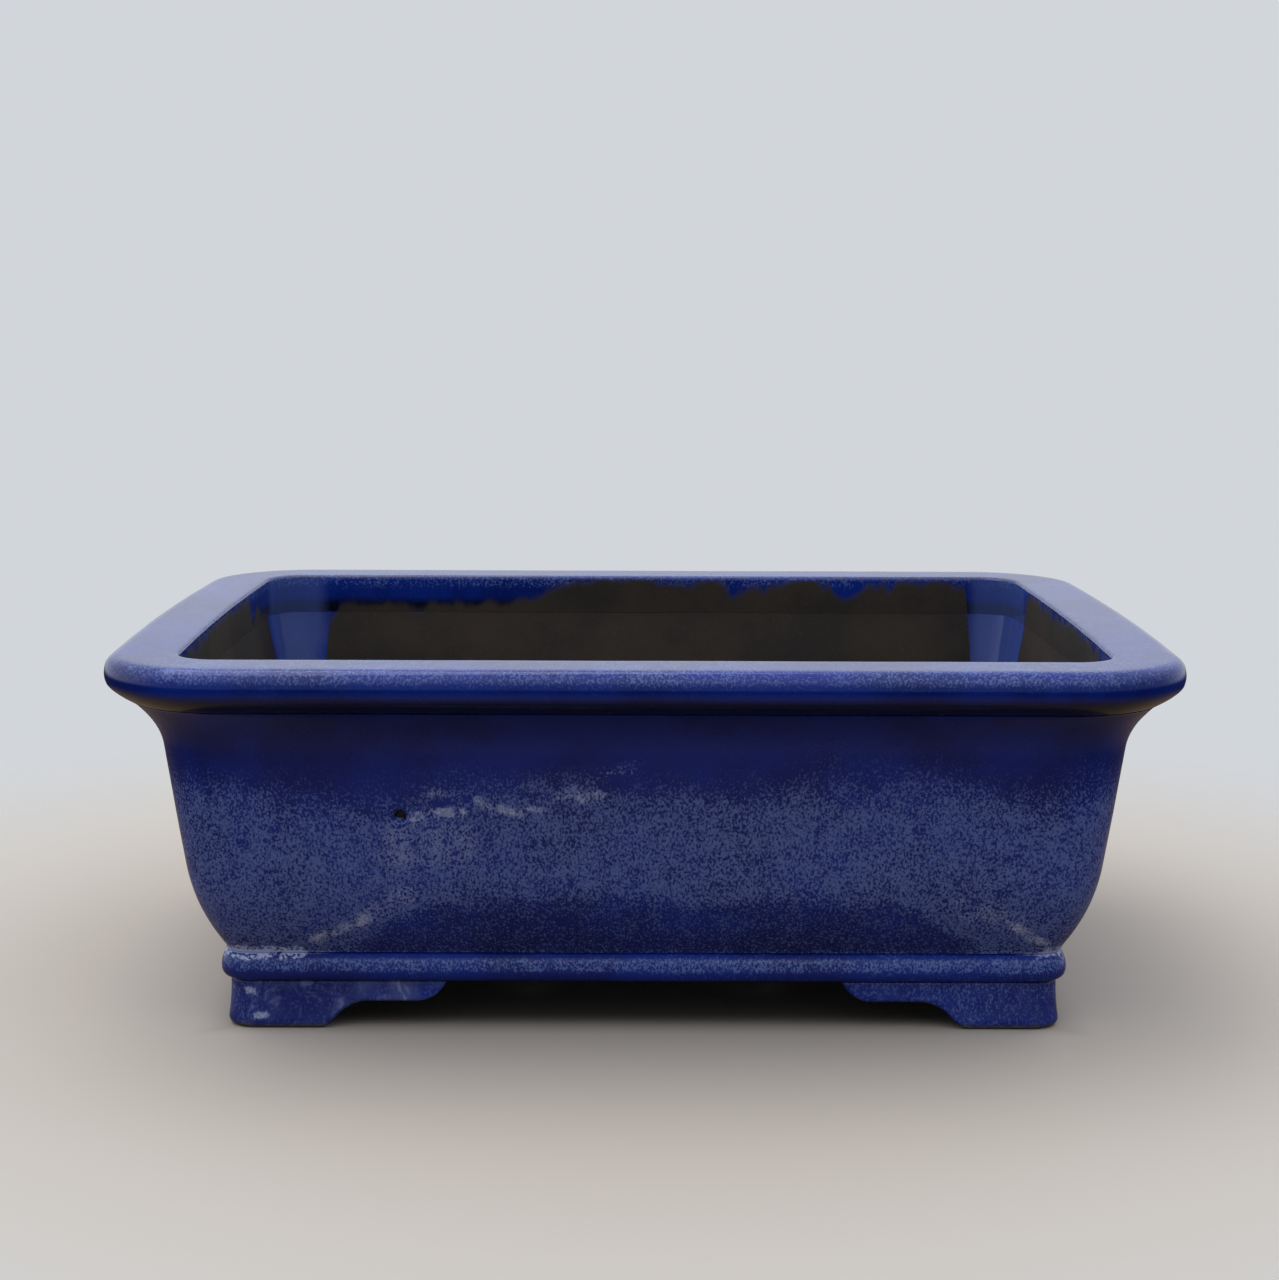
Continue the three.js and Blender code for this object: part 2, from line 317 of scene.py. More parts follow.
@dataclass
class Moulding:
    """A closed band that carries a section all the way round the plan."""

    plan: PotPlan
    name: str
    stations: list[Station]
    long_cuts: int = 70
    short_cuts: int = 48
    spacing: float = 1 * MM
    waviness: float = 0.12 * MM
    wave_length: float = 34 * MM

    def build(self) -> bpy.types.Object:
        """Lays each station as a round-cornered rectangle and bridges one to the next.

        Returns:
            The band, bowed at its short sides, faintly uneven and smooth shaded.
        """
        band = empty_piece(self.name)
        with edit_mode(band):
            for level, station in enumerate(self.stations):
                self._lay(band, level, station)
        with edit_mode(band, "EDGE"):
            for level in range(len(self.stations)):
                self._bridge(band, level, (level + 1) % len(self.stations))
            for level, station in enumerate(self.stations):
                self._lower(band, level, station.height)
            self._divide_sides(band)
            bpy.ops.mesh.select_all(action="SELECT")
            bpy.ops.mesh.normals_make_consistent(inside=False)
        self._bow(band)
        self._waver(band)
        make_active(band)
        bpy.ops.object.shade_smooth_by_angle(angle=SMOOTH_ANGLE)
        return band

    def _lay(self, band: bpy.types.Object, level: int, station: Station) -> None:
        """Adds one station's outline, stacked above the last so that no two are level.

        Args:
            band: The object in edit mode.
            level: The station's number.
            station: Its inset, height and corner radius.
        """
        centre = (0.0, 0.0, level * self.spacing)
        reach = (self.plan.half_length - station.inset, self.plan.half_width - station.inset, 1.0)
        bpy.ops.mesh.select_all(action="DESELECT")
        bpy.ops.mesh.primitive_plane_add(size=2, location=centre)
        bpy.ops.transform.resize(value=reach, center_override=centre)
        bpy.ops.mesh.bevel(
            offset_type="OFFSET",
            offset=station.radius,
            segments=self.plan.corner_cuts,
            profile=0.5,
            affect="VERTICES",
            clamp_overlap=False,
        )
        mesh = bmesh.from_edit_mesh(band.data)
        layers = mesh.verts.layers
        marks = [layers.float.get(key) or layers.float.new(key) for key in ("level", "inner", "worn")]
        for vertex in mesh.verts:
            if vertex.select:
                for mark, value in zip(marks, (level, station.inner, station.worn)):
                    vertex[mark] = value
        bmesh.update_edit_mesh(band.data)
        bpy.ops.mesh.delete(type="ONLY_FACE")

    def _bridge(self, band: bpy.types.Object, level: int, other: int) -> None:
        """Joins two stations' outlines with a strip of faces.

        Args:
            band: The object in edit mode.
            level: One station's number.
            other: The other station's number.
        """

        def on_outlines(edge: bmesh.types.BMEdge) -> bool:
            """Whether an edge lies along one of the two outlines."""
            mark = bmesh.from_edit_mesh(band.data).verts.layers.float["level"]
            first, second = (round(vertex[mark]) for vertex in edge.verts)
            return first == second and first in (level, other)

        pick(band, "edges", on_outlines)
        bpy.ops.mesh.bridge_edge_loops()

    def _lower(self, band: bpy.types.Object, level: int, height: float) -> None:
        """Moves one outline from its place in the stack to its own height.

        Args:
            band: The object in edit mode.
            level: The station's number.
            height: Where the outline belongs.
        """

        def on_outline(vertex: bmesh.types.BMVert) -> bool:
            """Whether a vertex belongs to the outline."""
            mark = bmesh.from_edit_mesh(band.data).verts.layers.float["level"]
            return round(vertex[mark]) == level

        pick(band, "verts", on_outline)
        bpy.ops.transform.translate(value=(0, 0, height - level * self.spacing))

    def _divide_sides(self, band: bpy.types.Object) -> None:
        """Cuts the straight sides into short lengths that can bow and waver.

        Args:
            band: The object in edit mode.
        """
        least = 0.5 * (self.plan.half_width - self.plan.rim_corner)
        for axis, cuts in ((0, self.long_cuts), (1, self.short_cuts)):

            def along(edge: bmesh.types.BMEdge, axis: int = axis) -> bool:
                """Whether an edge runs the length of a straight side."""
                run = edge.verts[1].co - edge.verts[0].co
                return abs(run[axis]) > least

            pick(band, "edges", along)
            bpy.ops.mesh.subdivide(number_cuts=cuts)

    def _bow(self, band: bpy.types.Object) -> None:
        """Bows the short sides out with a lattice, as the plan does.

        Args:
            band: The finished band, not in edit mode.
        """
        make_active(band)
        bpy.ops.object.add(type="LATTICE")
        cage = bpy.context.view_layer.objects.active
        cage.name = "bow_cage"
        points = cage.data
        points.points_u, points.points_v, points.points_w = 2, self.plan.bow_points, 2
        points.interpolation_type_u = "KEY_LINEAR"
        points.interpolation_type_v = "KEY_CARDINAL"
        points.interpolation_type_w = "KEY_LINEAR"
        cage.scale = (2 * self.plan.half_length, 2 * self.plan.half_width, 1.0)
        for point in points.points:
            across = 2 * point.co.y
            swell = self.plan.side_bow / self.plan.half_length * (1 - across**2)
            point.co_deform.x = point.co.x * (1 + swell)
        apply_modifier(band, "LATTICE", object=cage)
        lattice = cage.data
        bpy.data.objects.remove(cage)
        bpy.data.lattices.remove(lattice)

    def _waver(self, band: bpy.types.Object) -> None:
        """Sinks the surface by a fraction of a millimetre here and there, as a hand finish does.

        Args:
            band: The bowed band.
        """
        clouds = bpy.data.textures.new(f"{self.name}_waver", "CLOUDS")
        clouds.noise_scale = self.wave_length
        clouds.noise_depth = 1
        apply_modifier(
            band,
            "DISPLACE",
            texture=clouds,
            texture_coords="LOCAL",
            strength=self.waviness,
            mid_level=1.0,
        )


class Side(Enum):
    """The four sides of the pot, each with the way it faces."""

    FRONT = (0, -1)
    BACK = (0, 1)
    LEFT = (-1, 0)
    RIGHT = (1, 0)

    @property
    def word(self) -> str:
        """The side's name as the frame's nodes spell it."""
        return self.name.lower()


@dataclass
class MitredStrips:
    """Cuts one moulding into four strips that meet on 45 degree mitres at the corners."""

    plan: PotPlan
    band: bpy.types.Object
    part: str

    def build(self) -> list[bpy.types.Object]:
        """Makes the four strips and discards the uncut band.

        Returns:
            The strips, in the order of Side, each named after its side.
        """
        strips = [self._strip(side) for side in Side]
        discard(self.band)
        return strips

    def _strip(self, side: Side) -> bpy.types.Object:
        """Cuts the strip of one side.

        Args:
            side: The side to keep.

        Returns:
            A closed strip whose shading still matches the whole band.
        """
        strip = copy_of(self.band, f"{side.word}_{self.part}_glazed")
        facing = Vector((*side.value, 0.0))
        along = Vector((-facing.y, facing.x, 0.0))
        reach = Vector((self.plan.half_length, self.plan.half_width, 0.0))
        with edit_mode(strip):
            for hand in (-1, 1):
                towards = facing + hand * along
                corner = Vector((towards.x * reach.x, towards.y * reach.y, 0.0))
                bpy.ops.mesh.select_all(action="SELECT")
                bpy.ops.mesh.bisect(
                    plane_co=corner,
                    plane_no=hand * along - facing,
                    use_fill=True,
                    clear_outer=True,
                    clear_inner=False,
                )
        make_active(strip)
        bpy.ops.object.shade_smooth_by_angle(angle=SMOOTH_ANGLE)
        apply_modifier(
            strip,
            "DATA_TRANSFER",
            object=self.band,
            use_loop_data=True,
            data_types_loops={"CUSTOM_NORMAL"},
            loop_mapping="NEAREST_POLYNOR",
        )
        return strip


# ------------------------------------------------------------------------------------------
# Shader building
# ------------------------------------------------------------------------------------------


def linear(red: int, green: int, blue: int) -> Colour:
    """Turns a colour as seen on screen into the shader's linear light.

    Args:
        red: 0 to 255.
        green: 0 to 255.
        blue: 0 to 255.

    Returns:
        The linear colour, with an alpha of one.
    """
    levels = [value / 255 for value in (red, green, blue)]
    light = [v / 12.92 if v <= 0.04045 else ((v + 0.055) / 1.055) ** 2.4 for v in levels]
    return (*light, 1.0)


class Bench:
    """Adds and wires nodes in one node tree, so that a recipe reads from top to bottom."""

    def __init__(self, tree: bpy.types.NodeTree) -> None:
        """Takes the tree to work in.

        Args:
            tree: A material's or a group's node tree.
        """
        self.tree = tree

    def node(self, kind: str, settings: dict | None = None, **inputs: object) -> bpy.types.Node:
        """Adds a node, sets its properties and fills its sockets.

        Args:
            kind: The node's type name.
            settings: Properties of the node itself.
            **inputs: Socket names, with underscores for spaces, and their values or sources.

        Returns:
            The new node.
        """
        node = self.tree.nodes.new(kind)
        for name, value in (settings or {}).items():
            setattr(node, name, value)
        for name, value in inputs.items():
            self.feed(node.inputs[name.replace("_", " ")], value)
        return node

    def feed(self, socket: bpy.types.NodeSocket, value: object) -> None:
        """Links a source to a socket, or sets the socket's own value.

        Args:
            socket: The input to feed.
            value: Another node's output, or a plain value.
        """
        if isinstance(value, bpy.types.NodeSocket):
            self.tree.links.new(value, socket)
        else:
            socket.default_value = value

    def sum_up(self, operation: str, *values: object, clamp: bool = False) -> bpy.types.NodeSocket:
        """One step of arithmetic.

        Args:
            operation: The Math node's operation.
            *values: Numbers or sources, in socket order.
            clamp: Whether the result is kept from 0 to 1.

        Returns:
            The result's socket.
        """
        node = self.tree.nodes.new("ShaderNodeMath")
        node.operation = operation
        node.use_clamp = clamp
        for socket, value in zip(node.inputs, values):
            self.feed(socket, value)
        return node.outputs[0]

    def step(self, value: object, low: object, high: object) -> bpy.types.NodeSocket:
        """Rises smoothly from 0 at low to 1 at high; low may be the greater.

        Args:
            value: The source that is compared.
            low: Where the result is 0.
            high: Where the result is 1.

        Returns:
            The result's socket.
        """
        node = self.node("ShaderNodeMapRange", {"interpolation_type": "SMOOTHSTEP"}, Value=value)
        self.feed(node.inputs["From Min"], low)
        self.feed(node.inputs["From Max"], high)
        return node.outputs[0]

    def noise(
        self, vector: object, size: float, detail: float = 2.0, rough: float = 0.5, warp: float = 0.0
    ) -> bpy.types.NodeSocket:
        """Cloudy noise whose blobs are about the given size.

        Args:
            vector: The coordinates.
            size: The pattern's wavelength in metres.
            detail: How many finer octaves are added.
            rough: How strong they are.
            warp: How far the pattern is distorted.

        Returns:
            The noise value, about 0.2 to 0.8.
        """
        node = self.node(
            "ShaderNodeTexNoise",
            Vector=vector,
            Scale=1 / size,
            Detail=detail,
            Roughness=rough,
            Distortion=warp,
        )
        return node.outputs["Fac"]

    def blend(self, amount: object, first: object, second: object) -> bpy.types.NodeSocket:
        """Mixes two colours.

        Args:
            amount: 0 gives the first, 1 the second.
            first: A colour or a source.
            second: A colour or a source.

        Returns:
            The mixed colour.
        """
        node = self.node("ShaderNodeMix", {"data_type": "RGBA", "clamp_factor": True})
        for name, value in (("Factor_Float", amount), ("A_Color", first), ("B_Color", second)):
            socket = next(item for item in node.inputs if item.identifier == name)
            self.feed(socket, value)
        return next(item for item in node.outputs if item.identifier == "Result_Color")

    def stretched(self, vector: object, scale: Point3) -> bpy.types.NodeSocket:
        """Scales coordinates by a different amount on each axis."""
        node = self.node("ShaderNodeMapping", Vector=vector, Scale=scale)
        return node.outputs[0]

    def object_place(self) -> bpy.types.NodeSocket:
        """The surface point in the pot's own frame."""
        return self.node("ShaderNodeTexCoord").outputs["Object"]

    def axes(self, vector: object) -> tuple[bpy.types.NodeSocket, ...]:
        """Splits a vector into its X, Y and Z."""
        return tuple(self.node("ShaderNodeSeparateXYZ", Vector=vector).outputs)

    def attribute(self, name: str) -> bpy.types.NodeSocket:
        """Reads a number that the mesh carries at each point."""
        return self.node("ShaderNodeAttribute", {"attribute_name": name}).outputs["Fac"]

    def group(self, tree: bpy.types.NodeTree, **inputs: object) -> bpy.types.Node:
        """Places a node group and fills its sockets."""
        return self.node("ShaderNodeGroup", {"node_tree": tree}, **inputs)


@dataclass(frozen=True)
class Socket:
    """One named input or output of a shader group."""

    name: str
    kind: str
    start: float | None = None


def shader_group(
    name: str, inputs: Sequence[Socket], outputs: Sequence[Socket]
) -> tuple[Bench, bpy.types.Node, bpy.types.Node]:
    """Makes an empty shader group.

    Args:
        name: The group's name.
        inputs: Its input sockets.
        outputs: Its output sockets.

    Returns:
        A bench for the group's tree, its input node and its output node.
    """
    tree = bpy.data.node_groups.new(name, "ShaderNodeTree")
    for sockets, way in ((inputs, "INPUT"), (outputs, "OUTPUT")):
        for socket in sockets:
            made = tree.interface.new_socket(socket.name, in_out=way, socket_type=socket.kind)
            if socket.start is not None:
                made.default_value = socket.start
    bench = Bench(tree)
    return bench, tree.nodes.new("NodeGroupInput"), tree.nodes.new("NodeGroupOutput")


VALUE = "NodeSocketFloat"
VECTOR = "NodeSocketVector"


def mottle_group() -> bpy.types.NodeTree:
    """The fine pale veining that separates out of a cobalt glaze as it cools.

    Returns:
        A group that gives a veil from 0 to 1, denser as Density rises.
    """
    bench, given, result = shader_group(
        "glaze_mottle",
        [Socket("Vector", VECTOR), Socket("Density", VALUE, 0.5)],
        [Socket("Veil", VALUE)],
    )
    place, density = given.outputs[:2]
    run = bench.stretched(place, (1.0, 1.0, 0.72))
    worm = bench.noise(run, 0.62 * MM, 2.5, 0.62, 0.4)
    patch = bench.noise(place, 5 * MM, 3.0, 0.6)
    drift = bench.sum_up("MULTIPLY", bench.sum_up("SUBTRACT", patch, 0.5), 0.24)
    level = bench.sum_up("ADD", worm, drift)
    threshold = bench.sum_up("MULTIPLY_ADD", density, -0.16, 0.54)
    high = bench.sum_up("ADD", threshold, 0.18)
    veil = bench.step(level, threshold, high)
    shown = bench.sum_up("MULTIPLY", veil, bench.step(density, -0.15, 0.75))
    bench.feed(result.inputs["Veil"], shown)
    return bench.tree


def streak_group() -> bpy.types.NodeTree:
    """A ragged pale streak where the glaze has run and gathered along a line.

    Returns:
        A group that gives a mask near the line from From to To in the plane of Place.
    """
    bench, given, result = shader_group(
        "glaze_streak",
        [
            Socket("Place", VECTOR),
            Socket("From", VECTOR),
            Socket("To", VECTOR),
            Socket("Width", VALUE, 2 * MM),
            Socket("Wander", VALUE, 4 * MM),
        ],
        [Socket("Mask", VALUE)],
    )
    place, start, end, width, wander = given.outputs[:5]

    def vector(operation: str, *values: object) -> bpy.types.Node:
        """One step of vector arithmetic.

        Args:
            operation: The Vector Math node's operation.
            *values: Vectors or sources, in socket order.

        Returns:
            The node.
        """
        node = bench.tree.nodes.new("ShaderNodeVectorMath")
        node.operation = operation
        for socket, value in zip(node.inputs, values):
            bench.feed(socket, value)
        return node

    sway = bench.node("ShaderNodeTexNoise", Vector=place, Scale=1 / (17 * MM), Detail=3.0)
    sway_off = vector("SUBTRACT", sway.outputs["Color"], (0.5, 0.5, 0.5)).outputs[0]
    sway_by = bench.node("ShaderNodeVectorMath", {"operation": "SCALE"}, Vector=sway_off, Scale=wander)
    bent = vector("ADD", place, sway_by.outputs[0]).outputs[0]
    run = vector("SUBTRACT", end, start).outputs[0]
    off = vector("SUBTRACT", bent, start).outputs[0]
    reach = vector("DOT_PRODUCT", off, run).outputs["Value"]
    length = vector("DOT_PRODUCT", run, run).outputs["Value"]
    share = bench.sum_up("DIVIDE", reach, length, clamp=True)
    on_line = bench.node("ShaderNodeVectorMath", {"operation": "SCALE"}, Vector=run, Scale=share)
    away = vector("LENGTH", vector("SUBTRACT", off, on_line.outputs[0]).outputs[0]).outputs["Value"]
    near = bench.step(away, width, bench.sum_up("MULTIPLY", width, 0.3))
    clump = bench.step(bench.noise(place, 6 * MM, 3.0, 0.6), 0.3, 0.6)
    bench.feed(result.inputs["Mask"], bench.sum_up("MULTIPLY", near, clump))
    return bench.tree


def skin_group() -> bpy.types.NodeTree:
    """The faint orange peel and pinholes of a fired glaze, as a height.

    Returns:
        A group that gives a height for a Bump node.
    """
    bench, given, result = shader_group(
        "glaze_skin",
        [Socket("Vector", VECTOR), Socket("Veil", VALUE, 0.0), Socket("Break", VALUE, 0.0)],
        [Socket("Height", VALUE)],
    )
    place, veil, broken = given.outputs[:3]
    swell = bench.noise(place, 9 * MM, 1.0, 0.4)
    peel = bench.noise(place, 2.2 * MM, 2.0, 0.5)
    grit = bench.noise(place, 0.7 * MM, 3.0, 0.7)
    total = bench.sum_up("MULTIPLY_ADD", peel, 0.22, bench.sum_up("MULTIPLY", swell, 0.6))
    total = bench.sum_up("MULTIPLY_ADD", veil, 0.05, total)
    rough = bench.sum_up("MULTIPLY", grit, broken)
    total = bench.sum_up("MULTIPLY_ADD", rough, 0.5, total)
    bench.feed(result.inputs["Height"], total)
    return bench.tree


def break_group() -> bpy.types.NodeTree:
    """Where a glaze draws thin over a sharp edge and the fired clay shows through.

    Returns:
        A group that turns how worn an edge is into a ragged mask.
    """
    bench, given, result = shader_group(
        "edge_break",
        [Socket("Vector", VECTOR), Socket("Worn", VALUE, 0.0)],
        [Socket("Mask", VALUE), Socket("Thin", VALUE)],
    )
    place, worn = given.outputs[:2]
    ragged = bench.noise(place, 3.2 * MM, 4.0, 0.65)
    drift = bench.sum_up("MULTIPLY", bench.sum_up("SUBTRACT", ragged, 0.5), 1.1)
    level = bench.sum_up("ADD", worn, drift)
    bench.feed(result.inputs["Mask"], bench.step(level, 0.62, 0.86))
    bench.feed(result.inputs["Thin"], bench.step(level, 0.2, 0.7))
    return bench.tree


@dataclass(frozen=True)
class GlazeColours:
    """The colours that the cobalt glaze goes through, and the painted shades laid over it."""

    deep: Colour = linear(3, 33, 118)
    blue: Colour = linear(10, 46, 146)
    # Painted shade: darker navy for the lower belly, standing in for the dark floor that the
    # down-turned belly reflects.
    painted_belly_shade: Colour = linear(4, 18, 84)
    # Painted shade: a near-black navy laid under the rim's nose, where the overhang's shade falls.
    shaded: Colour = linear(4, 8, 30)
    veil: Colour = linear(98, 120, 188)
    crawl: Colour = linear(184, 196, 236)
    thin: Colour = linear(74, 82, 104)
    fired_clay: Colour = linear(104, 96, 86)
    dark_clay: Colour = linear(34, 29, 23)
    light_clay: Colour = linear(56, 44, 32)
    # Near black: clay showing through a burst bubble, darkened further as painted shade in its hollow.
    pit: Colour = linear(14, 13, 9)


class Finish(Enum):
    """The surfaces that the pot's glaze and clay are seen on."""

    WALL = "wall"
    RIM = "rim"
    BELT = "belt"
    FOOT = "foot"
    FLOOR = "floor"


@dataclass(frozen=True)
class Streak:
    """One pale run in the glaze, from one point to another on a side of the pot, in millimetres.

    A negative strength thins the veining there instead.
    """

    side: Side
    start: Point2
    end: Point2
    width: float
    wander: float
    strength: float
    finish: Finish = Finish.WALL


@dataclass
class Kiln:
    """Makes the pot's materials and keeps the shader groups that they share."""

    colours: GlazeColours = GlazeColours()
    plan: PotPlan = field(default_factory=PotPlan)
    streaks: tuple[Streak, ...] = (
        Streak(Side.FRONT, (-61, 72.5), (-52, 71), 2.0, 4, 0.5),
        Streak(Side.FRONT, (-64, 65), (-52, 67), 2.4, 4, 0.7),
        Streak(Side.FRONT, (-57, 66.5), (-51, 66.5), 1.9, 2, 1.0),
        Streak(Side.FRONT, (-47, 70.5), (-43, 67.5), 1.7, 2, 0.8),
        Streak(Side.FRONT, (-40, 67.6), (-35, 66.2), 2.0, 2, 1.0),
        Streak(Side.FRONT, (-32, 68), (-28, 67.5), 1.7, 2, 0.7),
        Streak(Side.FRONT, (-25, 70), (-20, 73), 2.4, 3, 0.6),
        Streak(Side.FRONT, (-18, 71), (-12, 71.5), 2.2, 3, 0.7),
        Streak(Side.FRONT, (-14, 76), (-2, 80), 4.0, 5, 0.45),
        Streak(Side.FRONT, (-68, 58), (-54, 56), 10, 8, 0.3),
        Streak(Side.FRONT, (-93.5, 27.5), (-77, 35), 2.3, 3, 0.9),
        Streak(Side.FRONT, (-80, 34), (-66, 42), 4.5, 5, 0.4),
        Streak(Side.FRONT, (114, 25.5), (103, 33.8), 2.2, 3, 0.85),
        Streak(Side.FRONT, (104, 33.6), (90, 39), 5.0, 5, 0.4),
        Streak(Side.FRONT, (-58, 69.5), (-49, 70.5), 2.0, 2, -0.8),
        Streak(Side.FRONT, (-34, 72), (-22, 67.5), 3.0, 3, -0.5),
        Streak(Side.FRONT, (-12, 75), (-5, 75.5), 2.6, 3, -0.7),
        Streak(Side.FRONT, (-38, 84), (-6, 88), 8, 5, -0.4),
        Streak(Side.FRONT, (-115.5, 11.2), (-111.5, 10.4), 1.8, 2, 1.0, Finish.FOOT),
        Streak(Side.FRONT, (-111, 3.4), (-108.4, 4), 1.7, 2, 1.0, Finish.FOOT),
        Streak(Side.BACK, (-64, 31), (-20, 45), 4.5, 9, 0.6),
        Streak(Side.BACK, (52, 71), (86, 63), 3.0, 9, 0.8),
        Streak(Side.LEFT, (-40, 35), (10, 59), 4.2, 9, 0.6),
        Streak(Side.RIGHT, (-52, 61), (-8, 73), 3.2, 9, 0.7),
        Streak(Side.RIGHT, (30, 25), (58, 41), 4.2, 6, 0.6),
    )

    def __post_init__(self) -> None:
        """Builds the shared groups once."""
        self.mottle = mottle_group()
        self.streak = streak_group()
        self.skin = skin_group()
        self.edge = break_group()
        self.made: dict[Finish, bpy.types.Material] = {}

    def material(self, finish: Finish) -> bpy.types.Material:
        """The material of one finish, made the first time that it is asked for.

        Args:
            finish: Which surface it is for.

        Returns:
            The material.
        """
        if finish not in self.made:
            name = "fired_clay" if finish is Finish.FLOOR else f"cobalt_{finish.value}"
            material = bpy.data.materials.new(name)
            material.use_nodes = True
            material.node_tree.nodes.clear()
            recipe = self._clay if finish is Finish.FLOOR else self._glaze
            recipe(Bench(material.node_tree), finish)
            self.made[finish] = material
        return self.made[finish]

    def _side_mask(self, bench: Bench, side: Side, axes: Sequence[object]) -> bpy.types.NodeSocket:
        """1 on one side of the pot and 0 on the other three.

        Args:
            bench: The material's bench.
            side: The side.
            axes: The surface point's X, Y and Z.

        Returns:
            The mask.
        """
        reach_x = bench.sum_up("DIVIDE", axes[0], self.plan.half_length)
        reach_y = bench.sum_up("DIVIDE", axes[1], self.plan.half_width)
        facing_x = bench.sum_up("MULTIPLY", reach_x, side.value[0])
        facing_y = bench.sum_up("MULTIPLY", reach_y, side.value[1])
        return bench.step(bench.sum_up("ADD", facing_x, facing_y), 0.55, 0.66)

    def _streaks(self, bench: Bench, finish: Finish, axes: Sequence[object]) -> bpy.types.NodeSocket:
        """All the pale runs on one kind of surface, as one mask.

        Args:
            bench: The material's bench.
            finish: Which surface it is.
            axes: The surface point's X, Y and Z.

        Returns:
            The mask.
        """
        total: object = 0.0
        planes = {}
        for side in Side:
            across = axes[1] if side.value[0] else axes[0]
            flat = bench.node("ShaderNodeCombineXYZ", X=across, Y=axes[2])
            planes[side] = flat.outputs[0], self._side_mask(bench, side, axes)
        for run in (run for run in self.streaks if run.finish is finish):
            plane, mask = planes[run.side]
            group = bench.group(
                self.streak,
                Place=plane,
                From=(run.start[0] * MM, run.start[1] * MM, 0.0),
                To=(run.end[0] * MM, run.end[1] * MM, 0.0),
                Width=run.width * MM,
                Wander=run.wander * MM,
            )
            one = bench.sum_up("MULTIPLY", group.outputs["Mask"], mask)
            total = bench.sum_up("MULTIPLY_ADD", one, run.strength, total)
        return total

    def _density(self, bench: Bench, finish: Finish, place: object, axes: Sequence[object]) -> object:
        """How thickly the pale veining lies over one surface, with painted reflections on the rim and
        the belt.

        Args:
            bench: The material's bench.
            finish: Which surface it is.
            place: The surface point.
            axes: Its X, Y and Z.

        Returns:
            A density from 0 to 1.
        """
        broad = bench.noise(place, 60 * MM, 3.0, 0.55)
        drift = bench.sum_up("SUBTRACT", broad, 0.5)
        if finish is Finish.WALL:
            height = bench.sum_up("MULTIPLY_ADD", drift, 30 * MM, axes[2])
            upper = bench.step(height, 86 * MM, 62 * MM)
            return bench.sum_up("MULTIPLY", upper, self._above_belly(bench, drift, axes))
        if finish is Finish.RIM:
            # Partly real veining, partly painted reflection: the pale veil is kept to the top and the
            # upper nose, where the sky's reflection shows as a grey-blue band.
            over = bench.step(axes[2], 103.5 * MM, 106.5 * MM)
            return bench.sum_up("MULTIPLY", over, bench.sum_up("MULTIPLY_ADD", drift, 0.8, 0.48))
        if finish is Finish.BELT:
            low, high = levels("base_belt")
            off = bench.sum_up("ABSOLUTE", bench.sum_up("SUBTRACT", axes[2], 0.4 * low + 0.6 * high))
            # Painted highlight: denser pale veil across the bead's middle, standing in for the
            # reflection that lies there.
            painted_highlight_band = bench.sum_up("MULTIPLY_ADD", bench.step(off, 2.6 * MM, 1.0 * MM), 0.6, 0.1)
            return bench.sum_up("MULTIPLY_ADD", drift, 0.8, painted_highlight_band)
        return bench.sum_up("MULTIPLY_ADD", drift, 1.2, 0.3)

    def _above_belly(self, bench: Bench, drift: object, axes: Sequence[object]) -> object:
        """Falls off where the glaze has run smooth and dark over the middle of the belly.

        Args:
            bench: The material's bench.
            drift: Broad noise about zero.
            axes: The surface point's X, Y and Z.

        Returns:
            1 above the smooth part and a quarter on it.
        """
        off = bench.sum_up("ABSOLUTE", bench.sum_up("SUBTRACT", axes[0], 6 * MM))
        ends = bench.step(off, 62 * MM, 100 * MM)
        brow = bench.sum_up("MULTIPLY_ADD", ends, -19 * MM, 39 * MM)
        over = bench.sum_up("SUBTRACT", bench.sum_up("MULTIPLY_ADD", drift, 14 * MM, axes[2]), brow)
        return bench.sum_up("MULTIPLY_ADD", bench.step(over, -3 * MM, 6 * MM), 0.62, 0.38)

    def _crawl(self, bench: Bench, place: object, axes: Sequence[object]) -> object:
        """White glaze that has gathered in the crease by the belt, near the corners.

        Args:
            bench: The material's bench.
            place: The surface point.
            axes: Its X, Y and Z.

        Returns:
            The mask.
        """
        crease = levels("base_belt")[1]
        left = bench.step(axes[0], -88 * MM, -101 * MM)
        right = bench.sum_up("MULTIPLY", bench.step(axes[0], 105 * MM, 113 * MM), 0.75)
        turned = bench.step(bench.sum_up("ABSOLUTE", axes[1]), 40 * MM, 74 * MM)
        corner = bench.sum_up("MULTIPLY", bench.sum_up("ADD", left, right), turned)
        away = bench.sum_up("ABSOLUTE", bench.sum_up("SUBTRACT", axes[2], crease))
        near = bench.sum_up("MULTIPLY", bench.step(away, 4.6 * MM, 0.3 * MM), corner)
        low = bench.sum_up("MULTIPLY_ADD", near, -0.6, 0.86)
        ragged = bench.noise(place, 5 * MM, 4.0, 0.68)
        grains = bench.step(ragged, low, bench.sum_up("ADD", low, 0.12))
        fine = bench.step(bench.noise(place, 0.9 * MM, 2.0, 0.6), 0.4, 0.56)
        grains = bench.sum_up("MULTIPLY", grains, fine)
        line = bench.sum_up("MULTIPLY", bench.step(away, 0.75 * MM, 0.35 * MM), corner)
        line = bench.sum_up("MULTIPLY", line, bench.step(ragged, 0.3, 0.5))
        return bench.sum_up("MAXIMUM", grains, line)

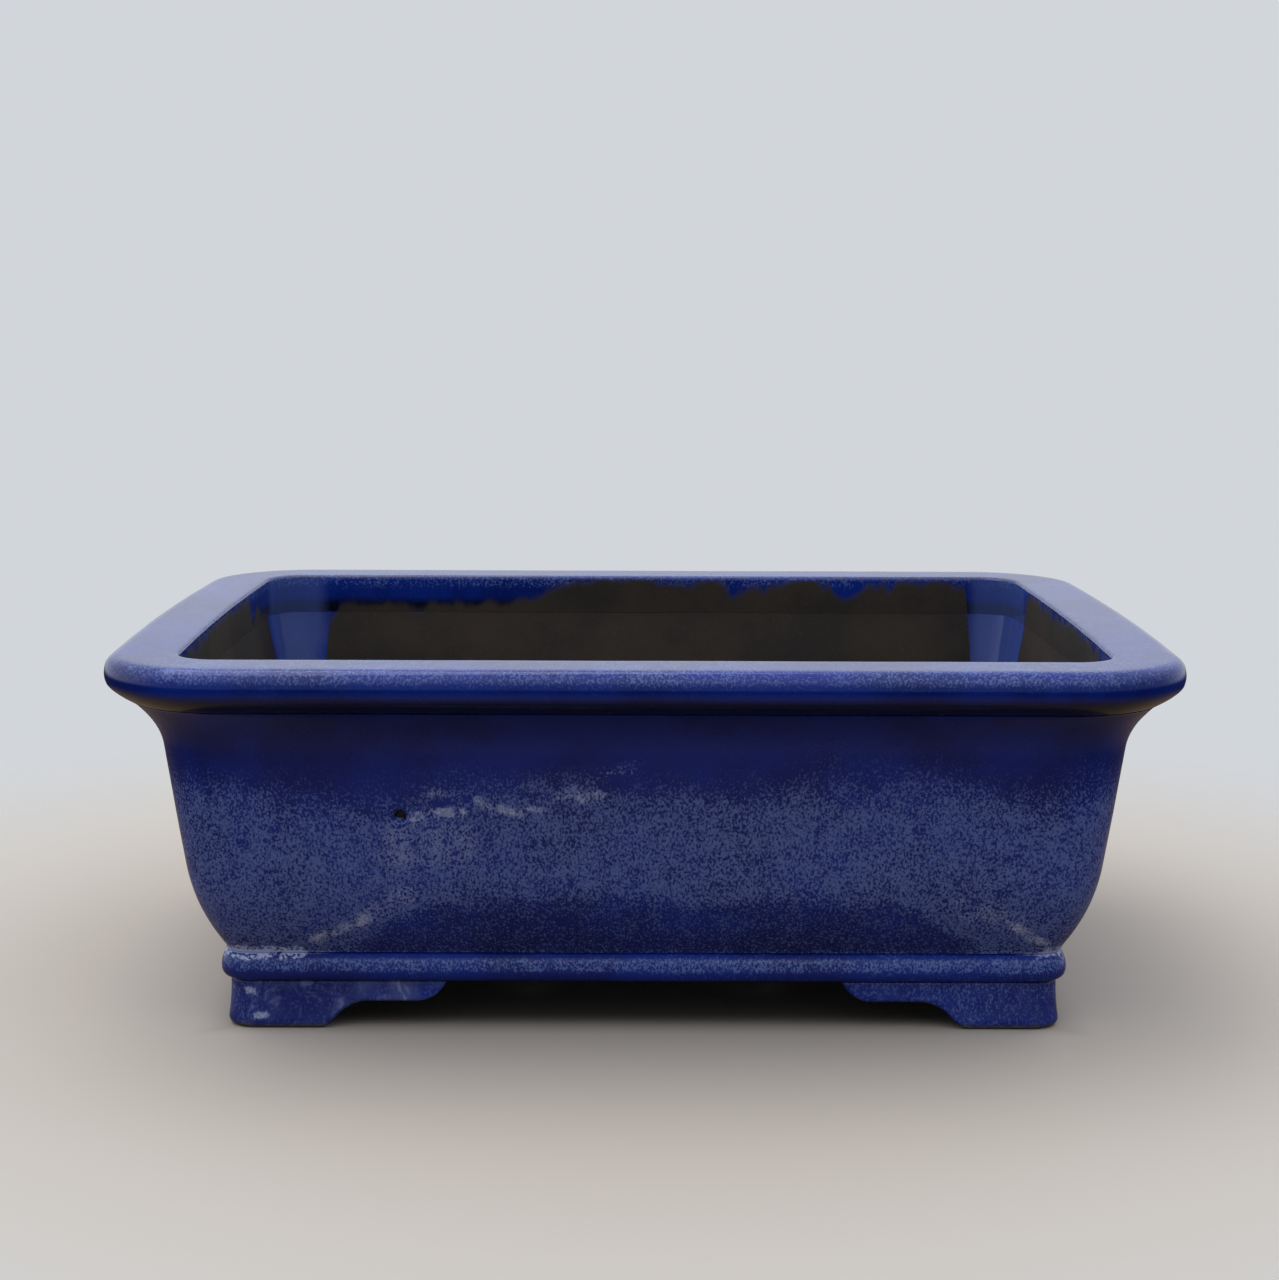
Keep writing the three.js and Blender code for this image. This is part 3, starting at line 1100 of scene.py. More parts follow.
    def _marbling(self, bench: Bench, place: object, axes: Sequence[object]) -> object:
        """Milky clouds in the glaze of the feet, thicker towards the left.

        Args:
            bench: The material's bench.
            place: The surface point.
            axes: Its X, Y and Z.

        Returns:
            The mask.
        """
        left = bench.sum_up("MULTIPLY_ADD", bench.step(axes[0], 40 * MM, -60 * MM), 0.75, 0.25)
        cloud = bench.step(bench.noise(place, 15 * MM, 3.0, 0.55, 0.8), 0.36, 0.66)
        wisp = bench.step(bench.noise(place, 8 * MM, 5.0, 0.66, 2.4), 0.5, 0.68)
        milk = bench.sum_up("MULTIPLY_ADD", wisp, 0.5, bench.sum_up("MULTIPLY", cloud, 0.34))
        return bench.sum_up("MULTIPLY", milk, left)

    def _burst(self, bench: Bench, axes: Sequence[object]) -> object:
        """The inside of the burst bubble on the front: clay showing through, painted darker still as
        shade in the hollow.

        Args:
            bench: The material's bench.
            axes: The surface point's X, Y and Z.

        Returns:
            The mask.
        """
        across, height = self.plan.burst
        x = bench.sum_up("SUBTRACT", axes[0], across)
        z = bench.sum_up("SUBTRACT", axes[2], height)
        slope_x = bench.sum_up("MULTIPLY_ADD", z, -0.35, x)
        slope_z = bench.sum_up("MULTIPLY_ADD", x, 0.35, z)
        far_x = bench.sum_up("DIVIDE", slope_x, 2.0 * MM)
        far_z = bench.sum_up("DIVIDE", slope_z, 1.3 * MM)
        squares = bench.sum_up("MULTIPLY", far_x, far_x)
        squares = bench.sum_up("MULTIPLY_ADD", far_z, far_z, squares)
        front = bench.step(axes[1], 0.0, -60 * MM)
        return bench.sum_up("MULTIPLY", bench.step(squares, 1.15, 0.6), front)

    def _inner_corner(self, bench: Bench, axes: Sequence[object]) -> object:
        """The corners of the inside, where the glaze has run furthest down.

        Args:
            bench: The material's bench.
            axes: The surface point's X, Y and Z.

        Returns:
            The mask.
        """
        across = bench.sum_up("ABSOLUTE", axes[1])
        left = bench.step(axes[0], -110 * MM, -116 * MM)
        left = bench.sum_up("MULTIPLY", left, bench.step(across, 79 * MM, 86 * MM))
        right = bench.step(axes[0], 114 * MM, 120 * MM)
        right = bench.sum_up("MULTIPLY", right, bench.step(across, 63 * MM, 71 * MM))
        return bench.sum_up("MAXIMUM", left, right)

    def _inside(self, bench: Bench, place: object, axes: Sequence[object]) -> object:
        """How bare the inside is: clay low down, glaze runs from the lip and in the corners.

        Args:
            bench: The material's bench.
            place: The surface point.
            axes: Its X, Y and Z.

        Returns:
            1 on bare clay and 0 on glaze.
        """
        rim_top = levels("front_rim")[1]
        along = bench.stretched(place, (1.0, 1.0, 0.25))
        wave = bench.noise(along, 30 * MM, 3.0, 0.55)
        drip = bench.noise(along, 7 * MM, 2.0, 0.5)
        corner = self._inner_corner(bench, axes)
        depth = bench.sum_up("MULTIPLY_ADD", bench.step(wave, 0.52, 0.72), 7 * MM, 1.5 * MM)
        depth = bench.sum_up("MULTIPLY_ADD", bench.sum_up("SUBTRACT", drip, 0.5), 10 * MM, depth)
        behind = bench.step(axes[1], 40 * MM, 80 * MM)
        washed = bench.sum_up("MULTIPLY", bench.step(axes[0], -20 * MM, -50 * MM), behind)
        depth = bench.sum_up("MULTIPLY_ADD", washed, 9 * MM, depth)
        depth = bench.sum_up("MULTIPLY_ADD", corner, 70 * MM, depth)
        sunk = bench.sum_up("SUBTRACT", rim_top, axes[2])
        past = bench.sum_up("SUBTRACT", sunk, depth)
        return bench.step(past, -2.5 * MM, 2.5 * MM)

    def _glaze(self, bench: Bench, finish: Finish) -> None:
        """The cobalt glaze, and the bare clay where it stops.

        Args:
            bench: The material's bench.
            finish: Which surface it is for.
        """
        shades = self.colours
        place = bench.object_place()
        axes = bench.axes(place)
        density = self._density(bench, finish, place, axes)
        white = self._streaks(bench, finish, axes)
        density = bench.sum_up("MULTIPLY_ADD", white, 0.5, density)
        density = bench.sum_up("MINIMUM", density, 0.9)
        white = bench.sum_up("MINIMUM", bench.sum_up("MAXIMUM", white, 0.0), 1.0)
        veil = bench.group(self.mottle, Vector=place, Density=density).outputs["Veil"]
        core = bench.sum_up("MULTIPLY", bench.step(white, 0.5, 0.85), 0.55)
        veil = bench.sum_up("MAXIMUM", veil, core)
        if finish is Finish.FOOT:
            milk = self._marbling(bench, place, axes)
            veil = bench.sum_up("MAXIMUM", veil, milk)
            white = bench.sum_up("MULTIPLY_ADD", milk, 0.45, white)
        broken = bench.group(self.edge, Vector=place, Worn=bench.attribute("worn"))
        tone = bench.step(bench.noise(place, 26 * MM, 3.0, 0.55), 0.36, 0.64)
        colour = bench.blend(tone, shades.deep, shades.blue)
        if finish is Finish.WALL:
            # Painted shade: the wall darkens towards the bottom of the belly, in place of the dark
            # reflection there.
            painted_belly_shade = bench.sum_up("MULTIPLY", bench.step(axes[2], 35 * MM, 21 * MM), 0.6)
            colour = bench.blend(painted_belly_shade, colour, shades.painted_belly_shade)
        if finish is Finish.RIM:
            # Painted shade: the rim darkens to near black below its nose, standing in for the shade
            # under the overhang.
            colour = bench.blend(bench.step(axes[2], 102 * MM, 98.5 * MM), colour, shades.shaded)
        colour = bench.blend(veil, colour, bench.blend(white, shades.veil, shades.crawl))
        if finish in (Finish.WALL, Finish.BELT):
            colour = bench.blend(self._crawl(bench, place, axes), colour, shades.crawl)
        colour = bench.blend(bench.sum_up("MULTIPLY", broken.outputs["Thin"], 0.5), colour, shades.thin)
        colour = bench.blend(broken.outputs["Mask"], colour, shades.fired_clay)
        bare: object = broken.outputs["Mask"]
        if finish in (Finish.WALL, Finish.RIM, Finish.FOOT):
            clay = self._clay_colour(bench, place)[0]
            inner = bench.attribute("inner")
            dry: object = inner
            if finish is not Finish.FOOT:
                within = bench.step(inner, 0.3, 0.7)
                # Partly pale glaze runs, partly painted sheen: the inside corners are blended 0.4 of
                # the way to the pale veil colour.
                pale_run_and_painted_sheen = bench.sum_up("MULTIPLY", within, self._inner_corner(bench, axes))
                colour = bench.blend(bench.sum_up("MULTIPLY", pale_run_and_painted_sheen, 0.4), colour, shades.veil)
                dry = bench.sum_up("MULTIPLY", within, self._inside(bench, place, axes))
            colour = bench.blend(dry, colour, clay)
            bare = bench.sum_up("MAXIMUM", bare, dry)
        if finish is Finish.WALL:
            burst = self._burst(bench, axes)
            # Partly the clay in the burst bubble, partly painted shade in its hollow.
            colour = bench.blend(burst, colour, shades.pit)
        skin = bench.group(self.skin, Vector=place, Veil=veil, Break=bare)
        bump = bench.node("ShaderNodeBump", Strength=0.5, Distance=0.12 * MM, Height=skin.outputs[0])
        gloss = bench.sum_up("MULTIPLY_ADD", veil, 0.06, 0.1)
        gloss = bench.sum_up("MULTIPLY_ADD", white, 0.08, gloss)
        rough = bench.sum_up("MULTIPLY_ADD", bare, 0.62, gloss)
        shader = bench.node(
            "ShaderNodeBsdfPrincipled",
            Base_Color=colour,
            Roughness=rough,
            IOR=1.52,
            Normal=bump.outputs[0],
        )
        if finish is Finish.BELT:
            top = levels("base_belt")[1]
            sheltered = bench.step(axes[2], top - 2.3 * MM, top - 1.2 * MM)
            sheen = bench.sum_up("MULTIPLY_ADD", sheltered, -0.4, 0.5)
            bench.feed(shader.inputs["Specular IOR Level"], sheen)
        bench.node("ShaderNodeOutputMaterial", Surface=shader.outputs[0])

    def _clay_colour(self, bench: Bench, place: object) -> tuple[object, object]:
        """Dark stoneware with fine grog.

        Args:
            bench: The material's bench.
            place: The surface point.

        Returns:
            The clay's colour and its grit.
        """
        cloud = bench.noise(place, 42 * MM, 4.0, 0.6)
        grit = bench.noise(place, 0.9 * MM, 4.0, 0.75)
        shades = self.colours
        colour = bench.blend(bench.step(cloud, 0.35, 0.68), shades.dark_clay, shades.light_clay)
        speck = bench.sum_up("MULTIPLY", bench.step(grit, 0.58, 0.74), 0.35)
        return bench.blend(speck, colour, shades.fired_clay), grit

    def _clay(self, bench: Bench, finish: Finish) -> None:
        """Bare fired clay, for the floor.

        Args:
            bench: The material's bench.
            finish: Which surface it is for; not used.
        """
        place = bench.object_place()
        colour, grit = self._clay_colour(bench, place)
        bump = bench.node("ShaderNodeBump", Strength=0.6, Distance=0.3 * MM, Height=grit)
        rough = bench.sum_up("MULTIPLY_ADD", grit, 0.2, 0.68)
        shader = bench.node(
            "ShaderNodeBsdfPrincipled",
            Base_Color=colour,
            Roughness=rough,
            Normal=bump.outputs[0],
        )
        bench.node("ShaderNodeOutputMaterial", Surface=shader.outputs[0])


def settle(piece: bpy.types.Object, nodes: Sequence[str], finish: Finish, kiln: Kiln) -> None:
    """Dresses a finished piece and hands it to the frame.

    Args:
        piece: The mesh object, with its place in its mesh.
        nodes: The frame's nodes that it stands for.
        finish: The finish that it takes.
        kiln: Where the material comes from.
    """
    piece.data.materials.clear()
    piece.data.materials.append(kiln.material(finish))
    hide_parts(*nodes)
    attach(piece, BODY)
    LOG.info("%s: %d faces", piece.name, len(piece.data.polygons))


# ------------------------------------------------------------------------------------------
# The pot's own pieces
# ------------------------------------------------------------------------------------------


@dataclass
class Walls:
    """Four ogee slabs: a cove under the rim, an even flank and a belly that tucks in."""

    plan: PotPlan
    neck_inset: float = 7.5 * MM
    cove_turn: Point2 = (15.3 * MM, 88.05 * MM)
    cove_middle: Point2 = (11.1 * MM, 92.6 * MM)
    neck_turn: Point2 = (8.35 * MM, 95.55 * MM)
    flank_top: Point2 = (16 * MM, 83 * MM)
    flank_bottom: Point2 = (21 * MM, 49 * MM)
    belly_turn: Point2 = (22.8 * MM, 36 * MM)
    belly_end: Point2 = (30.5 * MM, 24.3 * MM)
    crease_turn: Point2 = (31.2 * MM, 23.2 * MM)
    belly_inset: float = 31.2 * MM
    thickness: float = 7 * MM
    rim_width: float = 21 * MM
    inner_neck_turn: Point2 = (21.4 * MM, 92.5 * MM)
    inner_belly_turn: Point2 = (30.3 * MM, 30 * MM)
    inner_fillet: float = 1.4 * MM
    crater_depth: float = 1.6 * MM
    crater_reach: float = 2.0 * MM

    def build(self) -> list[bpy.types.Object]:
        """Builds the shell and cuts it into its four slabs.

        Returns:
            The slabs, in the order of Side.
        """
        band = Moulding(self.plan, "wall_shell", self._section()).build()
        self._sink_crater(band)
        return MitredStrips(self.plan, band, "wall").build()

    def _sink_crater(self, band: bpy.types.Object) -> None:
        """Presses the burst bubble into the front: a small oval pit through the glaze.

        Args:
            band: The uncut shell.
        """
        across, height = self.plan.burst

        def off_centre(place: Vector) -> float:
            """How far a point on the front's outside is from the pit's middle.

            Args:
                place: The point.

            Returns:
                The distance, or a metre for a point that is not on the front's outside.
            """
            if -place.y < self.plan.half_width - self.flank_bottom[0] - 1 * MM:
                return 1.0
            return math.hypot(place.x - across, place.z - height)

        with edit_mode(band, "FACE"):
            for reach, cuts in ((5 * MM, 3), (3 * MM, 3)):
                pick(
                    band,
                    "faces",
                    lambda face, reach=reach: off_centre(face.calc_center_median()) < reach,
                )
                bpy.ops.mesh.subdivide(number_cuts=cuts)
            bpy.ops.mesh.select_mode(type="VERT")
            pick(
                band,
                "verts",
                lambda vertex: abs(vertex.co.x - across) < 0.7 * MM
                and off_centre(vertex.co) < 0.8 * MM,
            )
            bpy.ops.transform.translate(
                value=(0, self.crater_depth, 0),
                use_proportional_edit=True,
                proportional_edit_falloff="SMOOTH",
                proportional_size=self.crater_reach,
            )

    def dress(self, slabs: Sequence[bpy.types.Object], kiln: Kiln) -> None:
        """Gives each slab its glaze and its place in the frame."""
        for side, slab in zip(Side, slabs):
            settle(slab, [f"{side.word}_wall"], Finish.WALL, kiln)

    def _section(self) -> list[Station]:
        """The section, up the outside and down the inside.

        Returns:
            Its stations.
        """
        low, high = levels("front_wall")
        top_in = (self.flank_top[0] + self.thickness, self.flank_top[1])
        bottom_in = (self.flank_bottom[0] + self.thickness, self.flank_bottom[1])
        foot_in = (self.belly_inset + self.thickness + self.inner_fillet, low)
        crease = arc_between((self.belly_inset, low), self.crease_turn, self.belly_end, 5)
        belly = arc_between(self.belly_end, self.belly_turn, self.flank_bottom, 14)
        flank = straight(self.flank_bottom, self.flank_top, 14)
        cove = arc_between(self.flank_top, self.cove_turn, self.cove_middle, 9)
        neck = arc_between(self.cove_middle, self.neck_turn, (self.neck_inset, high), 6)
        inner_cove = arc_between((self.rim_width, high), self.inner_neck_turn, top_in, 6)
        inner_flank = straight(top_in, bottom_in, 8)
        inner_belly = arc_between(bottom_in, self.inner_belly_turn, foot_in, 12)
        outside = [*crease, *belly[1:], *flank[1:], *cove[1:], *neck[1:]]
        inside = [*inner_cove, *inner_flank[1:], *inner_belly[1:]]
        return [*self.plan.outer(outside), *self.plan.inside(inside)]


@dataclass
class Rim:
    """Four flat-topped strips with a bull nose outside and a small round lip inside."""

    plan: PotPlan
    neck_inset: float = 7.5 * MM
    under_turn: Point2 = (2.6 * MM, 98.6 * MM)
    under_end: Point2 = (0.9 * MM, 100.6 * MM)
    nose_turn: Point2 = (0.0, 101.66 * MM)
    nose_drop: float = 5 * MM
    edge_radius: float = 4.6 * MM
    edge_turn_inset: float = 0.3 * MM
    width: float = 21 * MM
    lip_radius: float = 1.6 * MM
    lip_wear: float = 0.8
    wear_fade: float = 0.38

    def build(self) -> list[bpy.types.Object]:
        """Builds the rim and cuts it into its four strips.

        Returns:
            The strips, in the order of Side.
        """
        band = Moulding(self.plan, "rim_shell", self._section(), waviness=0.1 * MM).build()
        return MitredStrips(self.plan, band, "rim").build()

    def dress(self, strips: Sequence[bpy.types.Object], kiln: Kiln) -> None:
        """Gives each strip its glaze and its place in the frame."""
        for side, strip in zip(Side, strips):
            settle(strip, [f"{side.word}_rim"], Finish.RIM, kiln)

    def _section(self) -> list[Station]:
        """The section: under the nose, over it, across the top and down the lip.

        Returns:
            Its stations.
        """
        low, high = levels("front_rim")
        under = arc_between((self.neck_inset, low), self.under_turn, self.under_end, 9)
        nose_end = (0.0, high - self.nose_drop)
        top_start = (self.edge_radius, high)
        top_end = (self.width - self.lip_radius, high)
        lip_end = (self.width, high - self.lip_radius)
        nose = arc_between(self.under_end, self.nose_turn, nose_end, 6)
        over = arc_between(nose_end, (self.edge_turn_inset, high), top_start, 10)
        top = straight(top_start, top_end, 6)
        lip = arc_between(top_end, (self.width, high), lip_end, 8)
        face = straight(lip_end, (self.width, low), 5)
        outside = self.plan.outer([*under, *nose[1:], *over[1:]])
        flat = [self._eased(point) for point in top[1:-1]]
        middle = len(lip) // 2
        edge = []
        for step, (inset, height) in enumerate(lip[:-1]):
            worn = max(0.0, self.lip_wear - self.wear_fade * abs(step - middle))
            edge.append(Station(inset, height, self.plan.inner_corner, worn=worn))
        return [*outside, *flat, *edge, *self.plan.inside(face)]

    def _eased(self, point: Point2) -> Station:
        """A point of the flat top, its corner radius eased from the outer to the inner one.

        Args:
            point: Its inset and height.

        Returns:
            Its station.
        """
        share = (point[0] - self.edge_radius) / (self.width - self.edge_radius - self.lip_radius)
        outer = self.plan.outer_radius(self.edge_radius)
        return Station(*point, (1 - share) * outer + share * self.plan.inner_corner)


@dataclass
class Belt:
    """A half-round bead round the base, between the belly and the feet."""

    plan: PotPlan
    slip: float = 0.2 * MM
    steps: int = 22
    lean: float = 0.9 * MM

    def build(self) -> bpy.types.Object:
        """Builds the bead.

        Returns:
            One closed ring.
        """
        return Moulding(self.plan, "base_belt_glazed", self._section(), waviness=0.08 * MM).build()

    def dress(self, bead: bpy.types.Object, kiln: Kiln) -> None:
        """Gives the bead its glaze and its place in the frame."""
        settle(bead, ["base_belt"], Finish.BELT, kiln)

    def _section(self) -> list[Station]:
        """Half an ellipse with a flat back, its crest leaning a little downwards.

        Returns:
            Its stations.
        """
        low, high = levels("base_belt")
        back = self.plan.inset_of("floor_slab") - self.slip
        proud = back - self.plan.inset_of("base_belt")
        middle, half = (low + high) / 2, (high - low) / 2
        points = []
        for step in range(self.steps + 1):
            angle = math.pi * (step / self.steps - 0.5)
            bulge = max(0.0, math.cos(angle))
            height = middle + half * math.sin(angle) - self.lean * math.cos(angle) ** 2
            points.append((back - proud * bulge, height))
        return self.plan.outer(points)


@dataclass
class Feet:
    """Four L-shaped bracket feet with an ogee toe and a raised shelf."""

    plan: PotPlan
    flare: float = 0.9 * MM
    sole_edge: float = 2 * MM
    thickness: float = 13 * MM
    shelf: float = 7.8 * MM
    toe_run: float = 11.5 * MM
    front_sole: float = 26 * MM
    side_sole: float = 20.5 * MM
    front_length: float = 62.6 * MM
    side_length: float = 48 * MM
    glaze_reach: float = 6 * MM
    voxel: float = 0.55 * MM

    def build(self) -> list[bpy.types.Object]:
        """Cuts the openings from a plinth and parts it into four feet.

        Returns:
            The feet: front left, front right, back left, back right.
        """
        plinth = Moulding(self.plan, "plinth", self._section(), long_cuts=30, short_cuts=24).build()
        inset = self.plan.inset_of("back_left_foot")
        half_x = self.plan.half_length - inset
        half_y = self.plan.half_width - inset
        cutters = [
            self._cutter("front_opening", half_x, self.front_length, self.front_sole),
            self._cutter("side_opening", half_y, self.side_length, self.side_sole),
        ]
        with edit_mode(cutters[1]):
            bpy.ops.mesh.select_all(action="SELECT")
            bpy.ops.transform.rotate(value=math.pi / 2, orient_axis="Z", center_override=(0, 0, 0))
        for cutter in cutters:
            apply_modifier(plinth, "BOOLEAN", object=cutter, operation="DIFFERENCE", solver="EXACT")
        feet = [
            self._foot(plinth, end, hand, corner)
            for end, hand, corner in (
                ("front", "left", (-1, -1)),
                ("front", "right", (1, -1)),
                ("back", "left", (-1, 1)),
                ("back", "right", (1, 1)),
            )
        ]
        discard(plinth, *cutters)
        return feet

    def dress(self, feet: Sequence[bpy.types.Object], kiln: Kiln) -> None:
        """Gives each foot its glaze and its place in the frame."""
        for foot in feet:
            settle(foot, [foot.name.removesuffix("_glazed")], Finish.FOOT, kiln)

    def _section(self) -> list[Station]:
        """The plinth's section: a rounded sole, a slightly hollow face and a plain back.

        Returns:
            Its stations.
        """
        low, high = levels("front_left_foot")
        inset = self.plan.inset_of("back_left_foot")
        waist = inset + self.flare
        sole_end = (inset + self.sole_edge, low)
        edge = arc_between(sole_end, (inset, low), (inset, low + self.sole_edge), 6)
        face = arc_between(edge[-1], (waist, high / 2), (waist, high), 10)
        back = [(inset + self.thickness, high), (inset + self.thickness, low)]
        return [*self.plan.outer([*edge, *face[1:]]), *self.plan.inside(back)]

    def _cutter(self, name: str, half_span: float, length: float, sole: float) -> bpy.types.Object:
        """Shapes the block that opens the space between two feet.

        Args:
            name: The block's name.
            half_span: Half the distance over the two feet.
            length: How long each foot's arm is.
            sole: How long its sole is.

        Returns:
            The block, with an ogee toe, a shelf and an upswept tip on each hand.
        """
        top = levels("front_left_foot")[1]
        tip, toe = half_span - length, half_span - sole
        shelf_start = toe - self.toe_run
        worn_toe = (toe - 1 * MM, 0.4 * MM)
        rise = (toe - self.toe_run * 0.45, self.shelf * 0.55)
        shoulder = (shelf_start + 3 * MM, self.shelf - 0.5 * MM)
        sweep = (tip + 2.6 * MM, self.shelf + 0.4 * MM)
        outline = [
            *arc_between((toe, -2 * MM), (toe, 0.0), worn_toe, 3),
            *arc_between(worn_toe, (toe - 2.4 * MM, 1.2 * MM), rise, 5)[1:],
            *arc_between(rise, shoulder, (shelf_start - 1 * MM, self.shelf), 7)[1:],
            *arc_between((tip + 9 * MM, self.shelf), sweep, (tip, top + 1 * MM), 8),
        ]
        mirrored = [(-across, height) for across, height in reversed(outline)]
        return self._ribbon(name, [*outline, *mirrored])

    def _ribbon(self, name: str, outline: Sequence[Point2]) -> bpy.types.Object:
        """Draws one edge along an outline and closes what it sweeps into a block.

        Args:
            name: The block's name.
            outline: The closed outline, as distance across and height.

        Returns:
            The block, as long as the pot.
        """
        block = empty_piece(name)
        reach = self.plan.half_length + self.plan.side_bow
        start = (outline[0][0], 0, outline[0][1])

        def swept(edge: bmesh.types.BMEdge) -> bool:
            """Whether an open edge runs the length of the block."""
            first, second = edge.verts
            return edge.is_boundary and abs(first.co.y - second.co.y) > reach

        with edit_mode(block, "EDGE"):
            bpy.ops.mesh.primitive_plane_add(size=2, location=start)
            bpy.ops.transform.resize(value=(1, reach, 1), center_override=start)
            pick(block, "edges", lambda edge: min(vertex.co.x for vertex in edge.verts) < start[0])
            bpy.ops.mesh.delete(type="EDGE")
            bpy.ops.mesh.select_all(action="SELECT")
            bpy.ops.transform.translate(value=(-1, 0, 0))
            for here, there in zip(outline, outline[1:]):
                step = (there[0] - here[0], 0, there[1] - here[1])
                bpy.ops.mesh.extrude_region_move(TRANSFORM_OT_translate={"value": step})
            pick(block, "edges", swept)
            bpy.ops.mesh.bridge_edge_loops()
            for hand in (-1, 1):
                pick(
                    block,
                    "edges",
                    lambda edge, hand=hand: all(vertex.co.y * hand > 0 for vertex in edge.verts),
                )
                bpy.ops.mesh.edge_face_add()
            bpy.ops.mesh.select_all(action="SELECT")
            bpy.ops.mesh.normals_make_consistent(inside=False)
        return block

    def _foot(
        self, plinth: bpy.types.Object, end: str, hand: str, corner: tuple[int, int]
    ) -> bpy.types.Object:
        """Parts one foot from the plinth and softens its edges.

        Args:
            plinth: The plinth, with its openings cut.
            end: "front" or "back".
            hand: "left" or "right".
            corner: The signs of the foot's X and Y.

        Returns:
            One closed foot.
        """
        foot = copy_of(plinth, f"{end}_{hand}_foot_glazed")
        with edit_mode(foot):
            for axis, sign in enumerate(corner):
                away = Vector((0, 0, 0))
                away[axis] = -sign
                bpy.ops.mesh.select_all(action="SELECT")
                bpy.ops.mesh.bisect(plane_co=(0, 0, 0), plane_no=away, clear_outer=True, use_fill=True)
        apply_modifier(foot, "REMESH", mode="VOXEL", voxel_size=self.voxel, use_smooth_shade=True)
        apply_modifier(foot, "SMOOTH", factor=0.5, iterations=5)
        self._mark(foot, corner)
        make_active(foot)
        bpy.ops.object.shade_smooth()
        return foot

    def _mark(self, foot: bpy.types.Object, corner: tuple[int, int]) -> None:
        """Notes on the mesh where the glaze stops and where it has broken thin.

        Args:
            foot: The finished foot.
            corner: The signs of its X and Y; not used.
        """
        inset = self.plan.inset_of("back_left_foot")
        inner = foot.data.attributes.new("inner", "FLOAT", "POINT")
        worn = foot.data.attributes.new("worn", "FLOAT", "POINT")
        for vertex, bare, thin in zip(foot.data.vertices, inner.data, worn.data):
            place, normal = vertex.co, vertex.normal
            from_end = self.plan.half_length - abs(place.x)
            from_side = self.plan.half_width - abs(place.y)
            depth = min(from_end, from_side) - inset
            bare.value = 1.0 if depth > self.glaze_reach or -normal.z > 0.93 else 0.0
            sole = 1.15 - place.z / (2.4 * MM)
            shelf = 0.62 - abs(normal.z + 0.5) if 6 * MM < place.z < 10 * MM else 0.0
            thin.value = min(1.0, max(0.0, sole, shelf)) if depth < self.glaze_reach else 0.0
        foot.data.update()


@dataclass
class Floor:
    """The floor slab, pierced by two drain holes and four tie-wire holes."""

    plan: PotPlan
    drain_radius: float = 13 * MM
    drain_spacing: float = 124 * MM
    wire_radius: float = 2.5 * MM
    wire_spacing: Point2 = (70 * MM, 84 * MM)
    voxel: float = 1.2 * MM

    def build(self) -> bpy.types.Object:
        """Builds the slab.

        Returns:
            One closed slab with soft-edged holes.
        """
        low, high = levels("floor_slab")
        inset = self.plan.inset_of("floor_slab")
        slab = empty_piece("floor_slab_clay")
        reach = (self.plan.half_length - inset, self.plan.half_width - inset, 1.0)
        with edit_mode(slab):
            bpy.ops.mesh.primitive_plane_add(size=2, location=(0, 0, low))
            bpy.ops.transform.resize(value=reach, center_override=(0, 0, low))
            bpy.ops.mesh.bevel(
                offset_type="OFFSET",
                offset=self.plan.outer_radius(inset),
                segments=self.plan.corner_cuts,
                affect="VERTICES",
            )
            bpy.ops.mesh.extrude_region_move(TRANSFORM_OT_translate={"value": (0, 0, high - low)})
            bpy.ops.mesh.select_all(action="SELECT")
            bpy.ops.mesh.normals_make_consistent(inside=False)
        holes = self._punches(low, high)
        apply_modifier(slab, "BOOLEAN", object=holes, operation="DIFFERENCE", solver="EXACT")
        discard(holes)
        apply_modifier(slab, "REMESH", mode="VOXEL", voxel_size=self.voxel, use_smooth_shade=True)
        apply_modifier(slab, "SMOOTH", factor=0.5, iterations=3)
        make_active(slab)
        bpy.ops.object.shade_smooth()
        return slab

    def dress(self, slab: bpy.types.Object, kiln: Kiln) -> None:
        """Gives the slab its clay and its place in the frame."""
        settle(slab, ["floor_slab"], Finish.FLOOR, kiln)

    def _punches(self, low: float, high: float) -> bpy.types.Object:
        """The round punches that pierce the slab.

        Args:
            low: The slab's underside.
            high: The slab's top.

        Returns:
            One object that holds every punch.
        """
        punches = empty_piece("punches")
        middle, depth = (low + high) / 2, 2 * (high - low)
        with edit_mode(punches):
            for side in (-1, 1):
                bpy.ops.mesh.primitive_cylinder_add(
                    vertices=64,
                    radius=self.drain_radius,
                    depth=depth,
                    location=(side * self.drain_spacing / 2, 0, middle),
                )
                for edge in (-1, 1):
                    across, along = (spacing / 2 for spacing in self.wire_spacing)
                    bpy.ops.mesh.primitive_cylinder_add(
                        vertices=24,
                        radius=self.wire_radius,
                        depth=depth,
                        location=(side * across, edge * along, middle),
                    )
        return punches


# ------------------------------------------------------------------------------------------
# The studio
# ------------------------------------------------------------------------------------------


